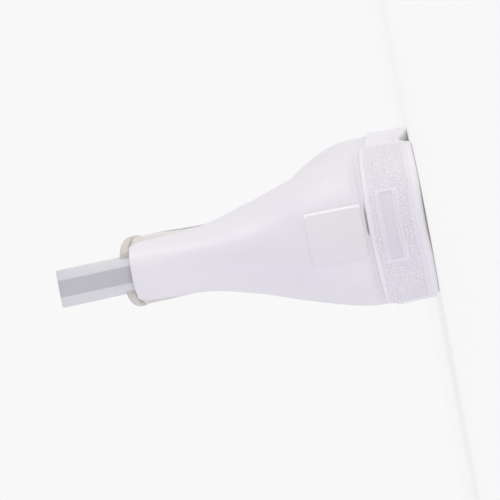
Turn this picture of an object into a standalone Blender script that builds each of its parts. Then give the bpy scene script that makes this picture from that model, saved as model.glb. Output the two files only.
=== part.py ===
# Ankle deck boot, right shoe: cup sole with tread inserts, hollow upper, gores, lining band, pull loop
import math

import bmesh
import bpy
import numpy as np

# Sizes in millimetres. Station y runs from the heel's back edge to the toe, x to the right, z up
MM = 0.001
SOLE_LENGTH = 272.0
HEEL_ROUND = 50.0
TOE_ROUND_FROM = 192.0
HEEL_POWER = 2.0
TOE_POWER = 2.1
GAP = 0.3

# Sole
ARCH_RISE = 5.0
ARCH_FROM = 74.0
ARCH_TO = 156.0
ARCH_FADE = 34.0
TOE_SPRING = 10.0
TOE_SPRING_FROM = 206.0
HEEL_BEVEL = 1.6
HEEL_BEVEL_TO = 9.0
POCKET_DEPTH = 4.0
FLOOR_HEIGHT = 10.0
WALL_THICK = 3.2
RIM_BEVEL = 1.6
RIM_BEVEL_HEIGHT = 2.6
WALL_UPRIGHT_TO = 9.0
WALL_FLARE = 0.5

# Tread inserts
TREAD_GAP = 0.9
TREAD_THICK = 3.7
GROOVE_DEPTH = 2.2
SIPE_DEPTH = 1.4
WIDE_GROOVE = 2.2
THIN_GROOVE = 1.1
PLATE_FRONT = 121.0
PLATE_BACK = 100.0
PLATE_SLANT = math.radians(-3.0)
GROOVE_DRIFT = 0.4
GROOVE_SHIFT = -0.8
GROOVE_STAGGER = 0.05
SPLIT_BACK = (-0.4, 176.0)
SPLIT_FRONT = (-2.0, 268.0)
CUT_BELOW = -1.0

# Upper
SHELL_THICK = 2.2
COLLAR_HEIGHT = 150.0
ANKLE_TOP = 145.0
INSTEP_AT = 155.0
HEEL_CAP_LENGTH = 45.0
HEEL_CAP_POWER = 2.2
STRAIGHT_FROM = 45.0
STRAIGHT_OVER = 60.0
UPPER_INSET = WALL_THICK + GAP
UPPER_FLARE = 2.2
UNION_POWER = 6.0
SHAFT_POWER = 2.8
UPPER_LOOPS = 21
HALF_COLUMNS = 28

# Gores, lining band, loop, patch and plate
GORE_CENTRE = 62.0
GORE_BOTTOM = 88.0
GORE_SLOPE = 0.485
GORE_ROUND = 7.7
GORE_EDGE = 0.5
GORE_THICK = 1.6
LINING_LOW = 136.0
LINING_THICK = 3.6
LINING_TOP = 155.2
LOOP_WIDTH = 19.0
LOOP_THICK = 1.1
LOOP_TOP = 188.0
LOOP_SPLIT = 155.5
LOOP_ROOT = 138.5
LOOP_OPEN = 14.0
LOOP_LEAN = 0.02
PATCH_HALF = 13.6
PATCH_LOW = 30.5
PATCH_HIGH = 60.0
PATCH_THICK = 0.8
HEEL_PLATE_HALF = 18.5
HEEL_PLATE_LOW = 12.3
HEEL_PLATE_HIGH = 21.7
HEEL_PLATE_THICK = 0.9
INSOLE_FRONT = 3.2
INSOLE_HEEL = 9.0
WEDGE_FROM = 135.0
WEDGE_OVER = 75.0

# Plan of the sole: station, middle line, half width before the round ends, rim width, top of the side wall
PLAN = [
    {"y": 0.0, "middle": 0.0, "half": 40.0, "rim": 17.0, "wall": 28.5},
    {"y": 50.0, "middle": 0.0, "half": 40.0, "rim": 14.6, "wall": 26.5},
    {"y": 81.0, "middle": 0.7, "half": 39.8, "rim": 14.4, "wall": 24.5},
    {"y": 103.0, "middle": 2.8, "half": 39.2, "rim": 15.4, "wall": 23.5},
    {"y": 125.0, "middle": 4.2, "half": 40.6, "rim": 15.4, "wall": 23.0},
    {"y": 150.0, "middle": 3.9, "half": 44.4, "rim": 14.2, "wall": 23.0},
    {"y": 176.0, "middle": 1.5, "half": 48.4, "rim": 12.8, "wall": 23.0},
    {"y": 192.0, "middle": 0.1, "half": 49.6, "rim": 12.2, "wall": 23.3},
    {"y": 225.0, "middle": -3.0, "half": 49.6, "rim": 11.4, "wall": 24.2},
    {"y": 250.0, "middle": -5.3, "half": 49.6, "rim": 10.4, "wall": 25.2},
    {"y": 272.0, "middle": -8.0, "half": 49.6, "rim": 9.5, "wall": 26.0},
]

# Side view of the upper: height, back line, front line
PROFILE = [
    {"z": 9.0, "back": 3.6, "front": 268.4},
    {"z": 27.0, "back": 1.4, "front": 270.6},
    {"z": 32.0, "back": 1.1, "front": 270.4},
    {"z": 37.0, "back": 1.0, "front": 268.4},
    {"z": 42.0, "back": 1.1, "front": 263.8},
    {"z": 46.5, "back": 1.4, "front": 257.2},
    {"z": 50.5, "back": 1.9, "front": 249.0},
    {"z": 54.5, "back": 2.7, "front": 238.4},
    {"z": 58.5, "back": 3.6, "front": 225.8},
    {"z": 63.0, "back": 4.9, "front": 211.2},
    {"z": 68.0, "back": 6.4, "front": 197.2},
    {"z": 74.0, "back": 8.2, "front": 183.6},
    {"z": 81.0, "back": 10.1, "front": 171.0},
    {"z": 89.0, "back": 11.8, "front": 159.6},
    {"z": 98.0, "back": 13.2, "front": 149.6},
    {"z": 108.0, "back": 14.1, "front": 141.2},
    {"z": 119.0, "back": 14.6, "front": 134.8},
    {"z": 131.0, "back": 14.5, "front": 130.4},
    {"z": 143.0, "back": 13.8, "front": 127.7},
    {"z": 160.0, "back": 12.6, "front": 125.4},
]

# Foot of the upper: station, greatest half width, height of that width, fullness over it
FOOT = [
    {"y": 0.0, "half": 39.4, "girth": 36.0, "full": 1.15},
    {"y": 75.0, "half": 39.3, "girth": 36.0, "full": 1.15},
    {"y": 105.0, "half": 38.4, "girth": 36.0, "full": 1.16},
    {"y": 135.0, "half": 40.6, "girth": 35.0, "full": 1.3},
    {"y": 165.0, "half": 45.4, "girth": 34.0, "full": 1.7},
    {"y": 192.0, "half": 48.2, "girth": 33.0, "full": 2.05},
    {"y": 225.0, "half": 48.5, "girth": 32.0, "full": 2.3},
    {"y": 272.0, "half": 48.4, "girth": 31.5, "full": 2.4},
]

# Shaft of the upper: height, half width
SHAFT = [
    {"z": 58.0, "half": 0.0},
    {"z": 74.0, "half": 12.0},
    {"z": 90.0, "half": 16.2},
    {"z": 113.0, "half": 17.0},
    {"z": 126.0, "half": 17.5},
    {"z": 140.0, "half": 18.2},
    {"z": 160.0, "half": 18.5},
]

# Forefoot grooves of one half, mirrored on the other: run from an inner to an outer point
GROOVES = [
    {"in_x": 2.0, "in_y": 250.5, "out_x": 16.0, "out_y": 246.5, "width": THIN_GROOVE},
    {"in_x": 3.0, "in_y": 236.0, "out_x": 34.0, "out_y": 226.5, "width": THIN_GROOVE},
    {"in_x": 22.0, "in_y": 251.0, "out_x": 10.5, "out_y": 219.0, "width": WIDE_GROOVE},
    {"in_x": 2.0, "in_y": 219.5, "out_x": 48.0, "out_y": 206.0, "width": WIDE_GROOVE},
    {"in_x": 2.0, "in_y": 210.5, "out_x": 48.0, "out_y": 199.5, "width": THIN_GROOVE},
    {"in_x": 2.0, "in_y": 202.0, "out_x": 48.0, "out_y": 185.5, "width": WIDE_GROOVE},
    {"in_x": 2.0, "in_y": 190.0, "out_x": 48.0, "out_y": 176.5, "width": THIN_GROOVE},
    {"in_x": 1.0, "in_y": 179.5, "out_x": 48.0, "out_y": 164.0, "width": WIDE_GROOVE},
    {"in_x": 0.6, "in_y": 175.0, "out_x": 10.8, "out_y": 118.0, "width": WIDE_GROOVE},
    {"in_x": 14.0, "in_y": 172.0, "out_x": 23.5, "out_y": 118.0, "width": WIDE_GROOVE},
    {"in_x": 6.5, "in_y": 163.0, "out_x": 15.5, "out_y": 160.0, "width": THIN_GROOVE},
    {"in_x": 18.0, "in_y": 158.0, "out_x": 34.0, "out_y": 152.5, "width": THIN_GROOVE},
    {"in_x": 9.0, "in_y": 146.5, "out_x": 17.5, "out_y": 143.5, "width": THIN_GROOVE},
    {"in_x": 20.0, "in_y": 139.5, "out_x": 30.0, "out_y": 136.5, "width": THIN_GROOVE},
]

# Heel sipes: station of each staggered row and the middles of its zigzags
SIPE_ROWS = [
    {"y": 94.0, "middles": [-0.2, 30.0]},
    {"y": 77.8, "middles": [-15.4, 13.8]},
    {"y": 61.8, "middles": [-31.0, -1.3, 28.7]},
    {"y": 45.0, "middles": [-15.4, 12.8]},
    {"y": 28.6, "middles": [-2.2]},
]
SIPE_STEP = 5.7
SIPE_SWING = 5.0

# Finishes: base colour and roughness
FINISHES = {
    "white_rubber": ((0.76, 0.74, 0.80), 0.5),
    "white_sole": ((0.78, 0.76, 0.82), 0.55),
    "grey_rubber": ((0.50, 0.51, 0.53), 0.7),
    "stretch_knit": ((0.62, 0.60, 0.57), 0.9),
    "lining": ((0.66, 0.64, 0.61), 0.9),
    "webbing": ((0.64, 0.64, 0.67), 0.85),
    "footbed": ((0.60, 0.60, 0.63), 0.9),
}


def smooth_step(value):
    """Ease from 0 to 1."""
    t = np.clip(value, 0.0, 1.0)
    return t * t * (3.0 - 2.0 * t)


def slopes(xs, ys):
    """Slopes that keep a curve through the rows free of overshoot."""
    step = np.diff(xs)
    rate = np.diff(ys) / step
    result = np.zeros(len(xs))
    for i in range(1, len(xs) - 1):
        if rate[i - 1] * rate[i] > 0.0:
            before = 2.0 * step[i] + step[i - 1]
            after = step[i] + 2.0 * step[i - 1]
            result[i] = (before + after) / (before / rate[i - 1] + after / rate[i])
    result[0] = rate[0]
    result[-1] = rate[-1]
    return result


def column(rows, key, name):
    """A smooth curve through one named column of a table."""
    xs = np.array([row[key] for row in rows])
    ys = np.array([row[name] for row in rows])
    grades = slopes(xs, ys)

    def curve(at):
        at = np.clip(np.asarray(at, dtype=float), xs[0], xs[-1])
        i = np.clip(np.searchsorted(xs, at, side="right") - 1, 0, len(xs) - 2)
        step = xs[i + 1] - xs[i]
        t = (at - xs[i]) / step
        stay = (1.0 + 2.0 * t) * (1.0 - t) ** 2 * ys[i] + t * t * (3.0 - 2.0 * t) * ys[i + 1]
        turn = t * (1.0 - t) ** 2 * step * grades[i] - t * t * (1.0 - t) * step * grades[i + 1]
        return stay + turn

    return curve


plan_middle = column(PLAN, "y", "middle")
plan_body = column(PLAN, "y", "half")
rim_width = column(PLAN, "y", "rim")
wall_top = column(PLAN, "y", "wall")
back_line = column(PROFILE, "z", "back")
front_line = column(PROFILE, "z", "front")
foot_half = column(FOOT, "y", "half")
foot_girth = column(FOOT, "y", "girth")
foot_full = column(FOOT, "y", "full")
shaft_half = column(SHAFT, "z", "half")


def round_end(value, power):
    """Width left near a round end, 1 where it starts and 0 at the tip."""
    t = np.clip(value, 0.0, 1.0)
    return (1.0 - t ** power) ** (1.0 / power)


def sole_half(y):
    """Half width of the sole at a station."""
    heel = round_end((HEEL_ROUND - y) / HEEL_ROUND, HEEL_POWER)
    toe = round_end((y - TOE_ROUND_FROM) / (SOLE_LENGTH - TOE_ROUND_FROM), TOE_POWER)
    return plan_body(y) * heel * toe


def lift(y, z):
    """Rise of the flat drawing: arch and heel bevel fade with height, the toe spring does not."""
    fade = 1.0 - smooth_step(z / ARCH_FADE)
    across = (y - ARCH_FROM) / (ARCH_TO - ARCH_FROM)
    arch = ARCH_RISE * np.sin(math.pi * np.clip(across, 0.0, 1.0)) ** 2
    bevel = HEEL_BEVEL * np.clip(1.0 - y / HEEL_BEVEL_TO, 0.0, 1.0) ** 2
    spring = TOE_SPRING * np.clip((y - TOE_SPRING_FROM) / (SOLE_LENGTH - TOE_SPRING_FROM), 0.0, 1.2) ** 2
    return (arch + bevel) * fade + spring


def shares(half_count):
    """Shares of a length from 0 to 1, closer together at both ends."""
    turn = np.linspace(0.0, math.pi, half_count + 1)
    return 0.5 * (1.0 - np.cos(turn))


def outline(half_count):
    """Sole outline, heel tip first, up the lateral side and back down the medial side."""
    y = SOLE_LENGTH * shares(half_count)
    half = sole_half(y)
    lateral = np.stack([plan_middle(y) + half, y], axis=1)
    medial = np.stack([plan_middle(y) - half, y], axis=1)
    return np.vstack([lateral, medial[1:-1][::-1]])


def inward(points):
    """Unit vectors that point into a closed outline run anticlockwise."""
    along = np.roll(points, -1, axis=0) - np.roll(points, 1, axis=0)
    normal = np.stack([-along[:, 1], along[:, 0]], axis=1)
    return normal / np.linalg.norm(normal, axis=1)[:, None]


def inset(points, distance):
    """Outline moved inwards by a distance, one for all points or one each."""
    distance = np.asarray(distance, dtype=float)
    if distance.ndim == 0:
        distance = np.full(len(points), float(distance))
    return points + inward(points) * distance[:, None]


DENSE = 300
dense_outline = outline(DENSE)


def inset_sides(distance):
    """Lateral and medial edge of the sole outline moved in, as curves of the station."""
    line = inset(dense_outline, distance)
    lateral = line[:DENSE + 1]
    medial = np.vstack([line[DENSE:], line[:1]])[::-1]
    return lambda y: (np.interp(y, lateral[:, 1], lateral[:, 0]), np.interp(y, medial[:, 1], medial[:, 0]))


low_sides = inset_sides(UPPER_INSET)
high_sides = inset_sides(UPPER_INSET - UPPER_FLARE)


def seat_sides(y, z):
    """Lateral and medial edge of the upper where it stands in the sole."""
    share = np.clip((z - FLOOR_HEIGHT) / (wall_top(y) - FLOOR_HEIGHT), 0.0, 1.0)
    low_lateral, low_medial = low_sides(y)
    high_lateral, high_medial = high_sides(y)
    lateral = low_lateral + share * (high_lateral - low_lateral)
    medial = low_medial + share * (high_medial - low_medial)
    return lateral, medial


ridge_heights = np.linspace(158.0, 33.0, 500)
ridge_stations = front_line(ridge_heights)
instep_top = float(np.interp(INSTEP_AT, ridge_stations, ridge_heights))
instep_fall = instep_top - float(np.interp(INSTEP_AT + 1.0, ridge_stations, ridge_heights))
ankle_from = INSTEP_AT - 2.0 * (ANKLE_TOP - instep_top) / instep_fall


def ridge(y):
    """Height of the foot's top line: the front line to the instep, then a curve level at the ankle."""
    line = np.interp(y, ridge_stations, ridge_heights)
    share = np.clip((y - ankle_from) / (INSTEP_AT - ankle_from), 0.0, 1.0)
    ankle = ANKLE_TOP - (ANKLE_TOP - instep_top) * share ** 2
    return np.where(y > INSTEP_AT, line, ankle)


def upper_half(y, z):
    """Half width of the upper's outer face: foot and shaft run into one another."""
    lateral, medial = seat_sides(y, z)
    seat = 0.5 * (lateral - medial)
    girth = foot_girth(y)
    from_back = y - back_line(z)
    heel = round_end((HEEL_CAP_LENGTH - from_back) / HEEL_CAP_LENGTH, HEEL_CAP_POWER)
    tip = front_line(np.minimum(z, girth))
    toe = round_end((y - TOE_ROUND_FROM) / (tip - TOE_ROUND_FROM), TOE_POWER)
    wide = foot_half(y) * heel * toe
    start = wall_top(y) + 0.5
    swell = smooth_step((z - start) / (girth - start))
    power = foot_full(y)
    over = np.clip((z - girth) / np.maximum(ridge(y) - girth, 0.5), 0.0, 1.0)
    foot = ((1.0 - swell) * seat + swell * wide) * (1.0 - over ** power) ** (1.0 / power)
    middle = 0.5 * (front_line(z) + back_line(z))
    reach = 0.5 * (front_line(z) - back_line(z))
    shaft = shaft_half(z) * round_end(np.abs(y - middle) / reach, SHAFT_POWER)
    return (foot ** UNION_POWER + shaft ** UNION_POWER) ** (1.0 / UNION_POWER)


def upper_middle(y, z):
    """Middle line of the upper: the foot's curve, straight in the shaft."""
    lateral, medial = seat_sides(y, z)
    return 0.5 * (lateral + medial) * (1.0 - smooth_step((z - STRAIGHT_FROM) / STRAIGHT_OVER))


def upper_point(side, y, z):
    """Point of the upper's outer face, side +1 lateral or -1 medial."""
    x = upper_middle(y, z) + side * upper_half(y, z)
    return np.stack([x, y, z + lift(y, z)], axis=-1)


def upper_normal(side, y, z):
    """Outward unit vector of the upper's outer face away from its front and back lines."""
    small = 0.2
    along = upper_point(side, y + small, z) - upper_point(side, y - small, z)
    rising = upper_point(side, y, z + small) - upper_point(side, y, z - small)
    normal = side * np.cross(along, rising)
    return normal / np.linalg.norm(normal, axis=-1)[..., None]


def upper_loops(half_columns, loops):
    """Loops of the upper's outer face from the sole to the collar, front first, lateral then medial."""
    heights = np.linspace(FLOOR_HEIGHT + GAP, COLLAR_HEIGHT, 600)
    run = np.hypot(np.diff(front_line(heights)), np.diff(heights))
    run = np.concatenate([[0.0], np.cumsum(run)])
    front_z = np.interp(np.linspace(0.0, run[-1], loops), run, heights)
    back_z = np.linspace(FLOOR_HEIGHT + GAP, COLLAR_HEIGHT, loops)
    share = shares(half_columns)
    grid = []
    for low, high in zip(front_z, back_z):
        z = low + (high - low) * share
        y = front_line(low) + (back_line(high) - front_line(low)) * share
        lateral = upper_point(1.0, y, z)
        medial = upper_point(-1.0, y, z)
        for end in (0, -1):
            lateral[end, 0] = upper_middle(y[end], z[end])
        grid.append(np.vstack([lateral, medial[1:-1][::-1]]))
    return np.array(grid)


def loop_normals(grid):
    """Outward unit vectors of a grid of closed loops."""
    around = np.roll(grid, -1, axis=1) - np.roll(grid, 1, axis=1)
    rising = np.empty_like(grid)
    rising[1:-1] = grid[2:] - grid[:-2]
    rising[0] = grid[1] - grid[0]
    rising[-1] = grid[-1] - grid[-2]
    normal = np.cross(rising, around)
    return normal / np.linalg.norm(normal, axis=2)[:, :, None]


# Scene and mesh helpers
for existing in list(bpy.data.objects):
    bpy.data.objects.remove(existing, do_unlink=True)

made_objects = []


def finish_of(name):
    """Material of a finish, made once."""
    material = bpy.data.materials.get(name)
    if material is None:
        material = bpy.data.materials.new(name)
        material.use_nodes = True
        colour, roughness = FINISHES[name]
        shader = material.node_tree.nodes["Principled BSDF"]
        shader.inputs["Base Color"].default_value = (*colour, 1.0)
        shader.inputs["Roughness"].default_value = roughness
        material.diffuse_color = (*colour, 1.0)
    return material


def add_object(name, points, faces, finish):
    """A mesh object from millimetre points."""
    mesh = bpy.data.meshes.new(name)
    mesh.from_pydata((np.asarray(points) * MM).tolist(), [], [tuple(map(int, face)) for face in faces])
    work = bmesh.new()
    work.from_mesh(mesh)
    bmesh.ops.recalc_face_normals(work, faces=work.faces)
    work.to_mesh(mesh)
    work.free()
    item = bpy.data.objects.new(name, mesh)
    bpy.context.scene.collection.objects.link(item)
    if finish is not None:
        mesh.materials.append(finish_of(finish))
        made_objects.append(item)
    return item


def ring_faces(rings, count, closed):
    """Quads between rings of equal count; closed also joins the last ring to the first."""
    faces = []
    last = rings if closed else rings - 1
    for i in range(last):
        base = i * count
        above = ((i + 1) % rings) * count
        for k in range(count):
            after = (k + 1) % count
            faces.append((base + k, base + after, above + after, above + k))
    return faces


def ladder_faces(start, count):
    """Cap of a ring that has one tip at each end, as rungs from side to side."""
    half = count // 2
    faces = [(start, start + 1, start + count - 1)]
    for k in range(1, half - 1):
        faces.append((start + k, start + k + 1, start + count - k - 1, start + count - k))
    faces.append((start + half - 1, start + half, start + half + 1))
    return faces


def raised(points_xy, heights):
    """Flat points set at heights and given the sole's lift."""
    heights = np.broadcast_to(np.asarray(heights, dtype=float), (len(points_xy),))
    rise = heights + lift(points_xy[:, 1], heights)
    return np.column_stack([points_xy, rise])


def plate_object(name, outer, inner, finish):
    """A thin closed plate between two grids of points."""
    rows, cols = outer.shape[:2]
    points = np.vstack([outer.reshape(-1, 3), inner.reshape(-1, 3)])
    size = rows * cols
    faces = []
    for i in range(rows - 1):
        for j in range(cols - 1):
            a = i * cols + j
            quad = (a, a + 1, a + cols + 1, a + cols)
            faces.append(quad)
            faces.append(tuple(size + v for v in reversed(quad)))
    edge = list(range(cols))
    edge += [i * cols + cols - 1 for i in range(1, rows)]
    edge += [(rows - 1) * cols + j for j in range(cols - 2, -1, -1)]
    edge += [i * cols for i in range(rows - 2, 0, -1)]
    for k, a in enumerate(edge):
        b = edge[(k + 1) % len(edge)]
        faces.append((a, b, size + b, size + a))
    return add_object(name, points, faces, finish)


def prism(name, points_xy, low, high, finish=None):
    """Upright prism over a flat outline."""
    count = len(points_xy)
    bottom = np.column_stack([points_xy, np.full(count, low)])
    top = np.column_stack([points_xy, np.full(count, high)])
    faces = [tuple(range(count))[::-1], tuple(range(count, 2 * count))]
    faces += ring_faces(2, count, False)
    return add_object(name, np.vstack([bottom, top]), faces, finish)


def ribbon(path, width):
    """Outline of a flat strip of even width along a path."""
    path = np.asarray(path, dtype=float)
    along = np.gradient(path, axis=0)
    along /= np.linalg.norm(along, axis=1)[:, None]
    step = np.diff(path, axis=0)
    step /= np.linalg.norm(step, axis=1)[:, None]
    side = np.column_stack([-along[:, 1], along[:, 0]])
    reach = np.full(len(path), 0.5 * width)
    for i in range(1, len(path) - 1):
        normal = np.array([-step[i, 1], step[i, 0]])
        reach[i] = 0.5 * width / max(0.5, float(np.dot(side[i], normal)))
    return np.vstack([path + side * reach[:, None], (path - side * reach[:, None])[::-1]])


def cut(item, cutters):
    """Take cutters from an object and apply the result."""
    for cutter in cutters:
        cutter.hide_render = True
        cutter.display_type = "WIRE"
        step = item.modifiers.new("cut", "BOOLEAN")
        step.operation = "DIFFERENCE"
        step.solver = "EXACT"
        step.object = cutter
        graph = bpy.context.evaluated_depsgraph_get()
        mesh = bpy.data.meshes.new_from_object(item.evaluated_get(graph))
        item.modifiers.clear()
        old = item.data
        item.data = mesh
        mesh.name = old.name
        bpy.data.meshes.remove(old)
        bpy.data.objects.remove(cutter, do_unlink=True)


def slice_and_lift(item, stations):
    """Cut a flat piece at stations and give it the sole's lift."""
    work = bmesh.new()
    work.from_mesh(item.data)
    for station in stations:
        parts = list(work.verts) + list(work.edges) + list(work.faces)
        place = (0.0, station * MM, 0.0)
        bmesh.ops.bisect_plane(work, geom=parts, plane_co=place, plane_no=(0.0, 1.0, 0.0))
    bmesh.ops.triangulate(work, faces=[face for face in work.faces if len(face.verts) > 4])
    for vert in work.verts:
        vert.co.z += float(lift(vert.co.y / MM, vert.co.z / MM)) * MM
    bmesh.ops.triangulate(work, faces=work.faces)
    bmesh.ops.remove_doubles(work, verts=work.verts, dist=0.00002)
    bmesh.ops.recalc_face_normals(work, faces=work.faces)
    work.to_mesh(item.data)
    work.free()


# Outsole: rings from the recess underneath, round the rim and the side wall, to the floor inside
sole_line = outline(HALF_COLUMNS)
station = sole_line[:, 1]
pocket_line = inset(sole_line, rim_width(station))
wall_height = wall_top(station)
sole_rings = [
    (pocket_line, POCKET_DEPTH),
    (pocket_line, 0.0),
    (inset(sole_line, RIM_BEVEL), 0.0),
    (sole_line, RIM_BEVEL_HEIGHT),
    (sole_line, WALL_UPRIGHT_TO),
    (inset(sole_line, -WALL_FLARE), wall_height - 1.0),
    (inset(sole_line, 0.1), wall_height),
    (inset(sole_line, WALL_THICK - UPPER_FLARE), wall_height - 0.1),
    (inset(sole_line, WALL_THICK), FLOOR_HEIGHT),
]
sole_points = np.vstack([raised(line, height) for line, height in sole_rings])
sole_count = len(sole_line)
sole_faces = ring_faces(len(sole_rings), sole_count, False)
sole_faces += ladder_faces(0, sole_count)
sole_faces += ladder_faces((len(sole_rings) - 1) * sole_count, sole_count)
add_object("outsole", sole_points, sole_faces, "white_sole")

# Tread inserts: one outline cut across the waist into three pieces
insert_line = inset(sole_line, rim_width(station) + TREAD_GAP)
pocket_pairs = 0.5 * (pocket_line[1:HALF_COLUMNS, 1] + pocket_line[:HALF_COLUMNS:-1, 1])
CURVE_MARGIN = 8.0
in_arch = (pocket_pairs > ARCH_FROM - CURVE_MARGIN) & (pocket_pairs < ARCH_TO + CURVE_MARGIN)
curved_stations = pocket_pairs[in_arch | (pocket_pairs > TOE_SPRING_FROM - CURVE_MARGIN)]


def insert_piece(name, low_station, high_station):
    """Flat insert between two slanted lines across the sole."""
    item = prism(name, insert_line, 0.0, TREAD_THICK, "grey_rubber")
    work = bmesh.new()
    work.from_mesh(item.data)
    normal = (math.sin(-PLATE_SLANT), math.cos(PLATE_SLANT), 0.0)
    for level, sign in ((low_station, -1.0), (high_station, 1.0)):
        if level is None:
            continue
        parts = list(work.verts) + list(work.edges) + list(work.faces)
        outward = tuple(sign * v for v in normal)
        found = bmesh.ops.bisect_plane(
            work, geom=parts, plane_co=(0.0, level * MM, 0.0), plane_no=outward, clear_outer=True)
        rim = [part for part in found["geom_cut"] if isinstance(part, bmesh.types.BMEdge)]
        bmesh.ops.edgeloop_fill(work, edges=rim)
    bmesh.ops.recalc_face_normals(work, faces=work.faces)
    work.to_mesh(item.data)
    work.free()
    return item


forefoot = insert_piece("forefoot_tread", PLATE_FRONT + 0.5 * TREAD_GAP, None)
split_line = ribbon([SPLIT_BACK, SPLIT_FRONT], WIDE_GROOVE)
groove_cutters = [prism("groove", split_line, CUT_BELOW, GROOVE_DEPTH)]
for row in GROOVES:
    for mirror in (-1.0, 1.0):
        ends = [(row["in_x"], row["in_y"]), (row["out_x"], row["out_y"])]
        path = []
        for x, y in ends:
            across = mirror * x + plan_middle(y) * GROOVE_DRIFT + GROOVE_SHIFT
            path.append((across, y + GROOVE_STAGGER * mirror))
        deep = GROOVE_DEPTH if row["width"] == WIDE_GROOVE else SIPE_DEPTH
        groove_cutters.append(prism("groove", ribbon(path, row["width"]), CUT_BELOW, deep))
cut(forefoot, groove_cutters)
slice_and_lift(forefoot, curved_stations)

waist = insert_piece("waist_plate", PLATE_BACK + 0.5 * TREAD_GAP, PLATE_FRONT - 0.5 * TREAD_GAP)
slice_and_lift(waist, curved_stations)

heel = insert_piece("heel_tread", None, PLATE_BACK - 0.5 * TREAD_GAP)
sipe_cutters = []
for row in SIPE_ROWS:
    for middle in row["middles"]:
        path = []
        for k in range(5):
            swing = 0.5 * SIPE_SWING * (1.0 if k % 2 == 0 else -1.0)
            path.append((middle + (k - 2) * SIPE_STEP, row["y"] + swing))
        sipe_cutters.append(prism("sipe", ribbon(path, THIN_GROOVE), CUT_BELOW, SIPE_DEPTH))
cut(heel, sipe_cutters)
slice_and_lift(heel, curved_stations)

# Upper: outer loops and the same loops moved in by the wall
outer = upper_loops(HALF_COLUMNS, UPPER_LOOPS)
inner = outer - loop_normals(outer) * SHELL_THICK
for end in (0, -1):
    inner[end, :, 2] = outer[end, :, 2]
upper_count = outer.shape[1]
upper_points = np.vstack([outer.reshape(-1, 3), inner[::-1].reshape(-1, 3)])
upper = add_object("upper", upper_points, ring_faces(2 * UPPER_LOOPS, upper_count, True), "white_rubber")


def gore_half(z):
    """Half width of the side slot at a height: a rounded point that opens evenly."""
    rise = GORE_SLOPE * np.clip(z - GORE_BOTTOM, 0.0, None)
    return np.sqrt(rise * rise + 2.0 * rise * GORE_ROUND)


def slot_cutter(side):
    """Prism along x with the outline of the gore slot."""
    tall = COLLAR_HEIGHT + 8.0 - GORE_BOTTOM
    z = GORE_BOTTOM + tall * np.linspace(1.0, 0.0, 15) ** 2
    half = gore_half(z) + 0.1
    back = np.column_stack([GORE_CENTRE - half, z])
    front = np.column_stack([GORE_CENTRE + half, z])[:-1][::-1]
    edge = np.vstack([back, front])
    count = len(edge)
    near = np.column_stack([np.full(count, side * 4.0), edge])
    far = np.column_stack([np.full(count, side * 70.0), edge])
    faces = [tuple(range(count)), tuple(range(count, 2 * count))[::-1]] + ring_faces(2, count, False)
    return add_object("slot", np.vstack([near, far]), faces, None)


def gore(name, side):
    """Stretch panel that fills a slot, just inside the upper's outer face."""
    low = GORE_BOTTOM + 2.0 * GORE_EDGE
    z = low + (COLLAR_HEIGHT - GAP - low) * np.linspace(1.0, 0.0, 12) ** 2
    half = gore_half(z) - GORE_EDGE
    y = GORE_CENTRE + half[:, None] * np.linspace(-1.0, 1.0, 13)[None, :]
    z = np.broadcast_to(z[:, None], y.shape)
    face = upper_point(side, y, z)
    facing = np.maximum(np.abs(upper_normal(side, y, z)[..., 0]), 0.5)
    near = face.copy()
    near[..., 0] -= side * GAP / facing
    far = face.copy()
    far[..., 0] -= side * (GAP + GORE_THICK) / facing
    plate_object(name, near, far, "stretch_knit")


cut(upper, [slot_cutter(1.0), slot_cutter(-1.0)])
gore("gore_lateral", 1.0)
gore("gore_medial", -1.0)


def collar_section(z, half_columns):
    """Outer outline of the shaft at a height, front first, lateral then medial."""
    share = shares(half_columns)
    y = front_line(z) + (back_line(z) - front_line(z)) * share
    height = np.full_like(y, z)
    half = upper_half(y, height)
    half[0] = 0.0
    half[-1] = 0.0
    lateral = np.column_stack([half, y])
    medial = np.column_stack([-half, y])[1:-1][::-1]
    return np.vstack([lateral, medial])


# Lining band: inside the collar, rolled out over the upper's edge
LINING_HALF_COLUMNS = 22
lining_profile = [
    (SHELL_THICK + GAP, LINING_LOW),
    (SHELL_THICK + GAP, COLLAR_HEIGHT + GAP),
    (0.4, COLLAR_HEIGHT + GAP),
    (-0.1, COLLAR_HEIGHT + 2.4),
    (1.0, LINING_TOP - 0.6),
    (3.2, LINING_TOP),
    (SHELL_THICK + GAP + LINING_THICK, LINING_TOP - 1.6),
    (SHELL_THICK + GAP + LINING_THICK, LINING_LOW),
]
lining_points = []
for depth, height in lining_profile:
    section = collar_section(min(height, COLLAR_HEIGHT + 4.0), LINING_HALF_COLUMNS)
    moved = section + inward(section[::-1])[::-1] * depth
    lining_points.append(np.column_stack([moved, np.full(len(moved), height)]))
lining_count = len(lining_points[0])
lining_faces = ring_faces(len(lining_profile), lining_count, True)
lining = add_object("collar_lining", np.vstack(lining_points), lining_faces, "lining")

# Pull loop: flat webbing bent to the collar's back at its root, a slot for a finger above
LOOP_COLUMNS = np.linspace(-0.5, 0.5, 5) * LOOP_WIDTH
root_y = float(back_line(LOOP_ROOT)) + SHELL_THICK + GAP + LOOP_THICK + 0.1


def collar_bow(x, z):
    """How far the collar's back lies forward of its middle at a distance to the side."""
    share = np.clip(np.abs(x) / (float(shaft_half(COLLAR_HEIGHT)) - SHELL_THICK), 0.0, 1.0)
    reach = 0.5 * float(front_line(COLLAR_HEIGHT) - back_line(COLLAR_HEIGHT)) - SHELL_THICK
    bow = reach * (1.0 - (1.0 - share ** SHAFT_POWER) ** (1.0 / SHAFT_POWER))
    return bow * (1.0 - smooth_step((z - COLLAR_HEIGHT) / (LOOP_TOP - COLLAR_HEIGHT)))


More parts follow.
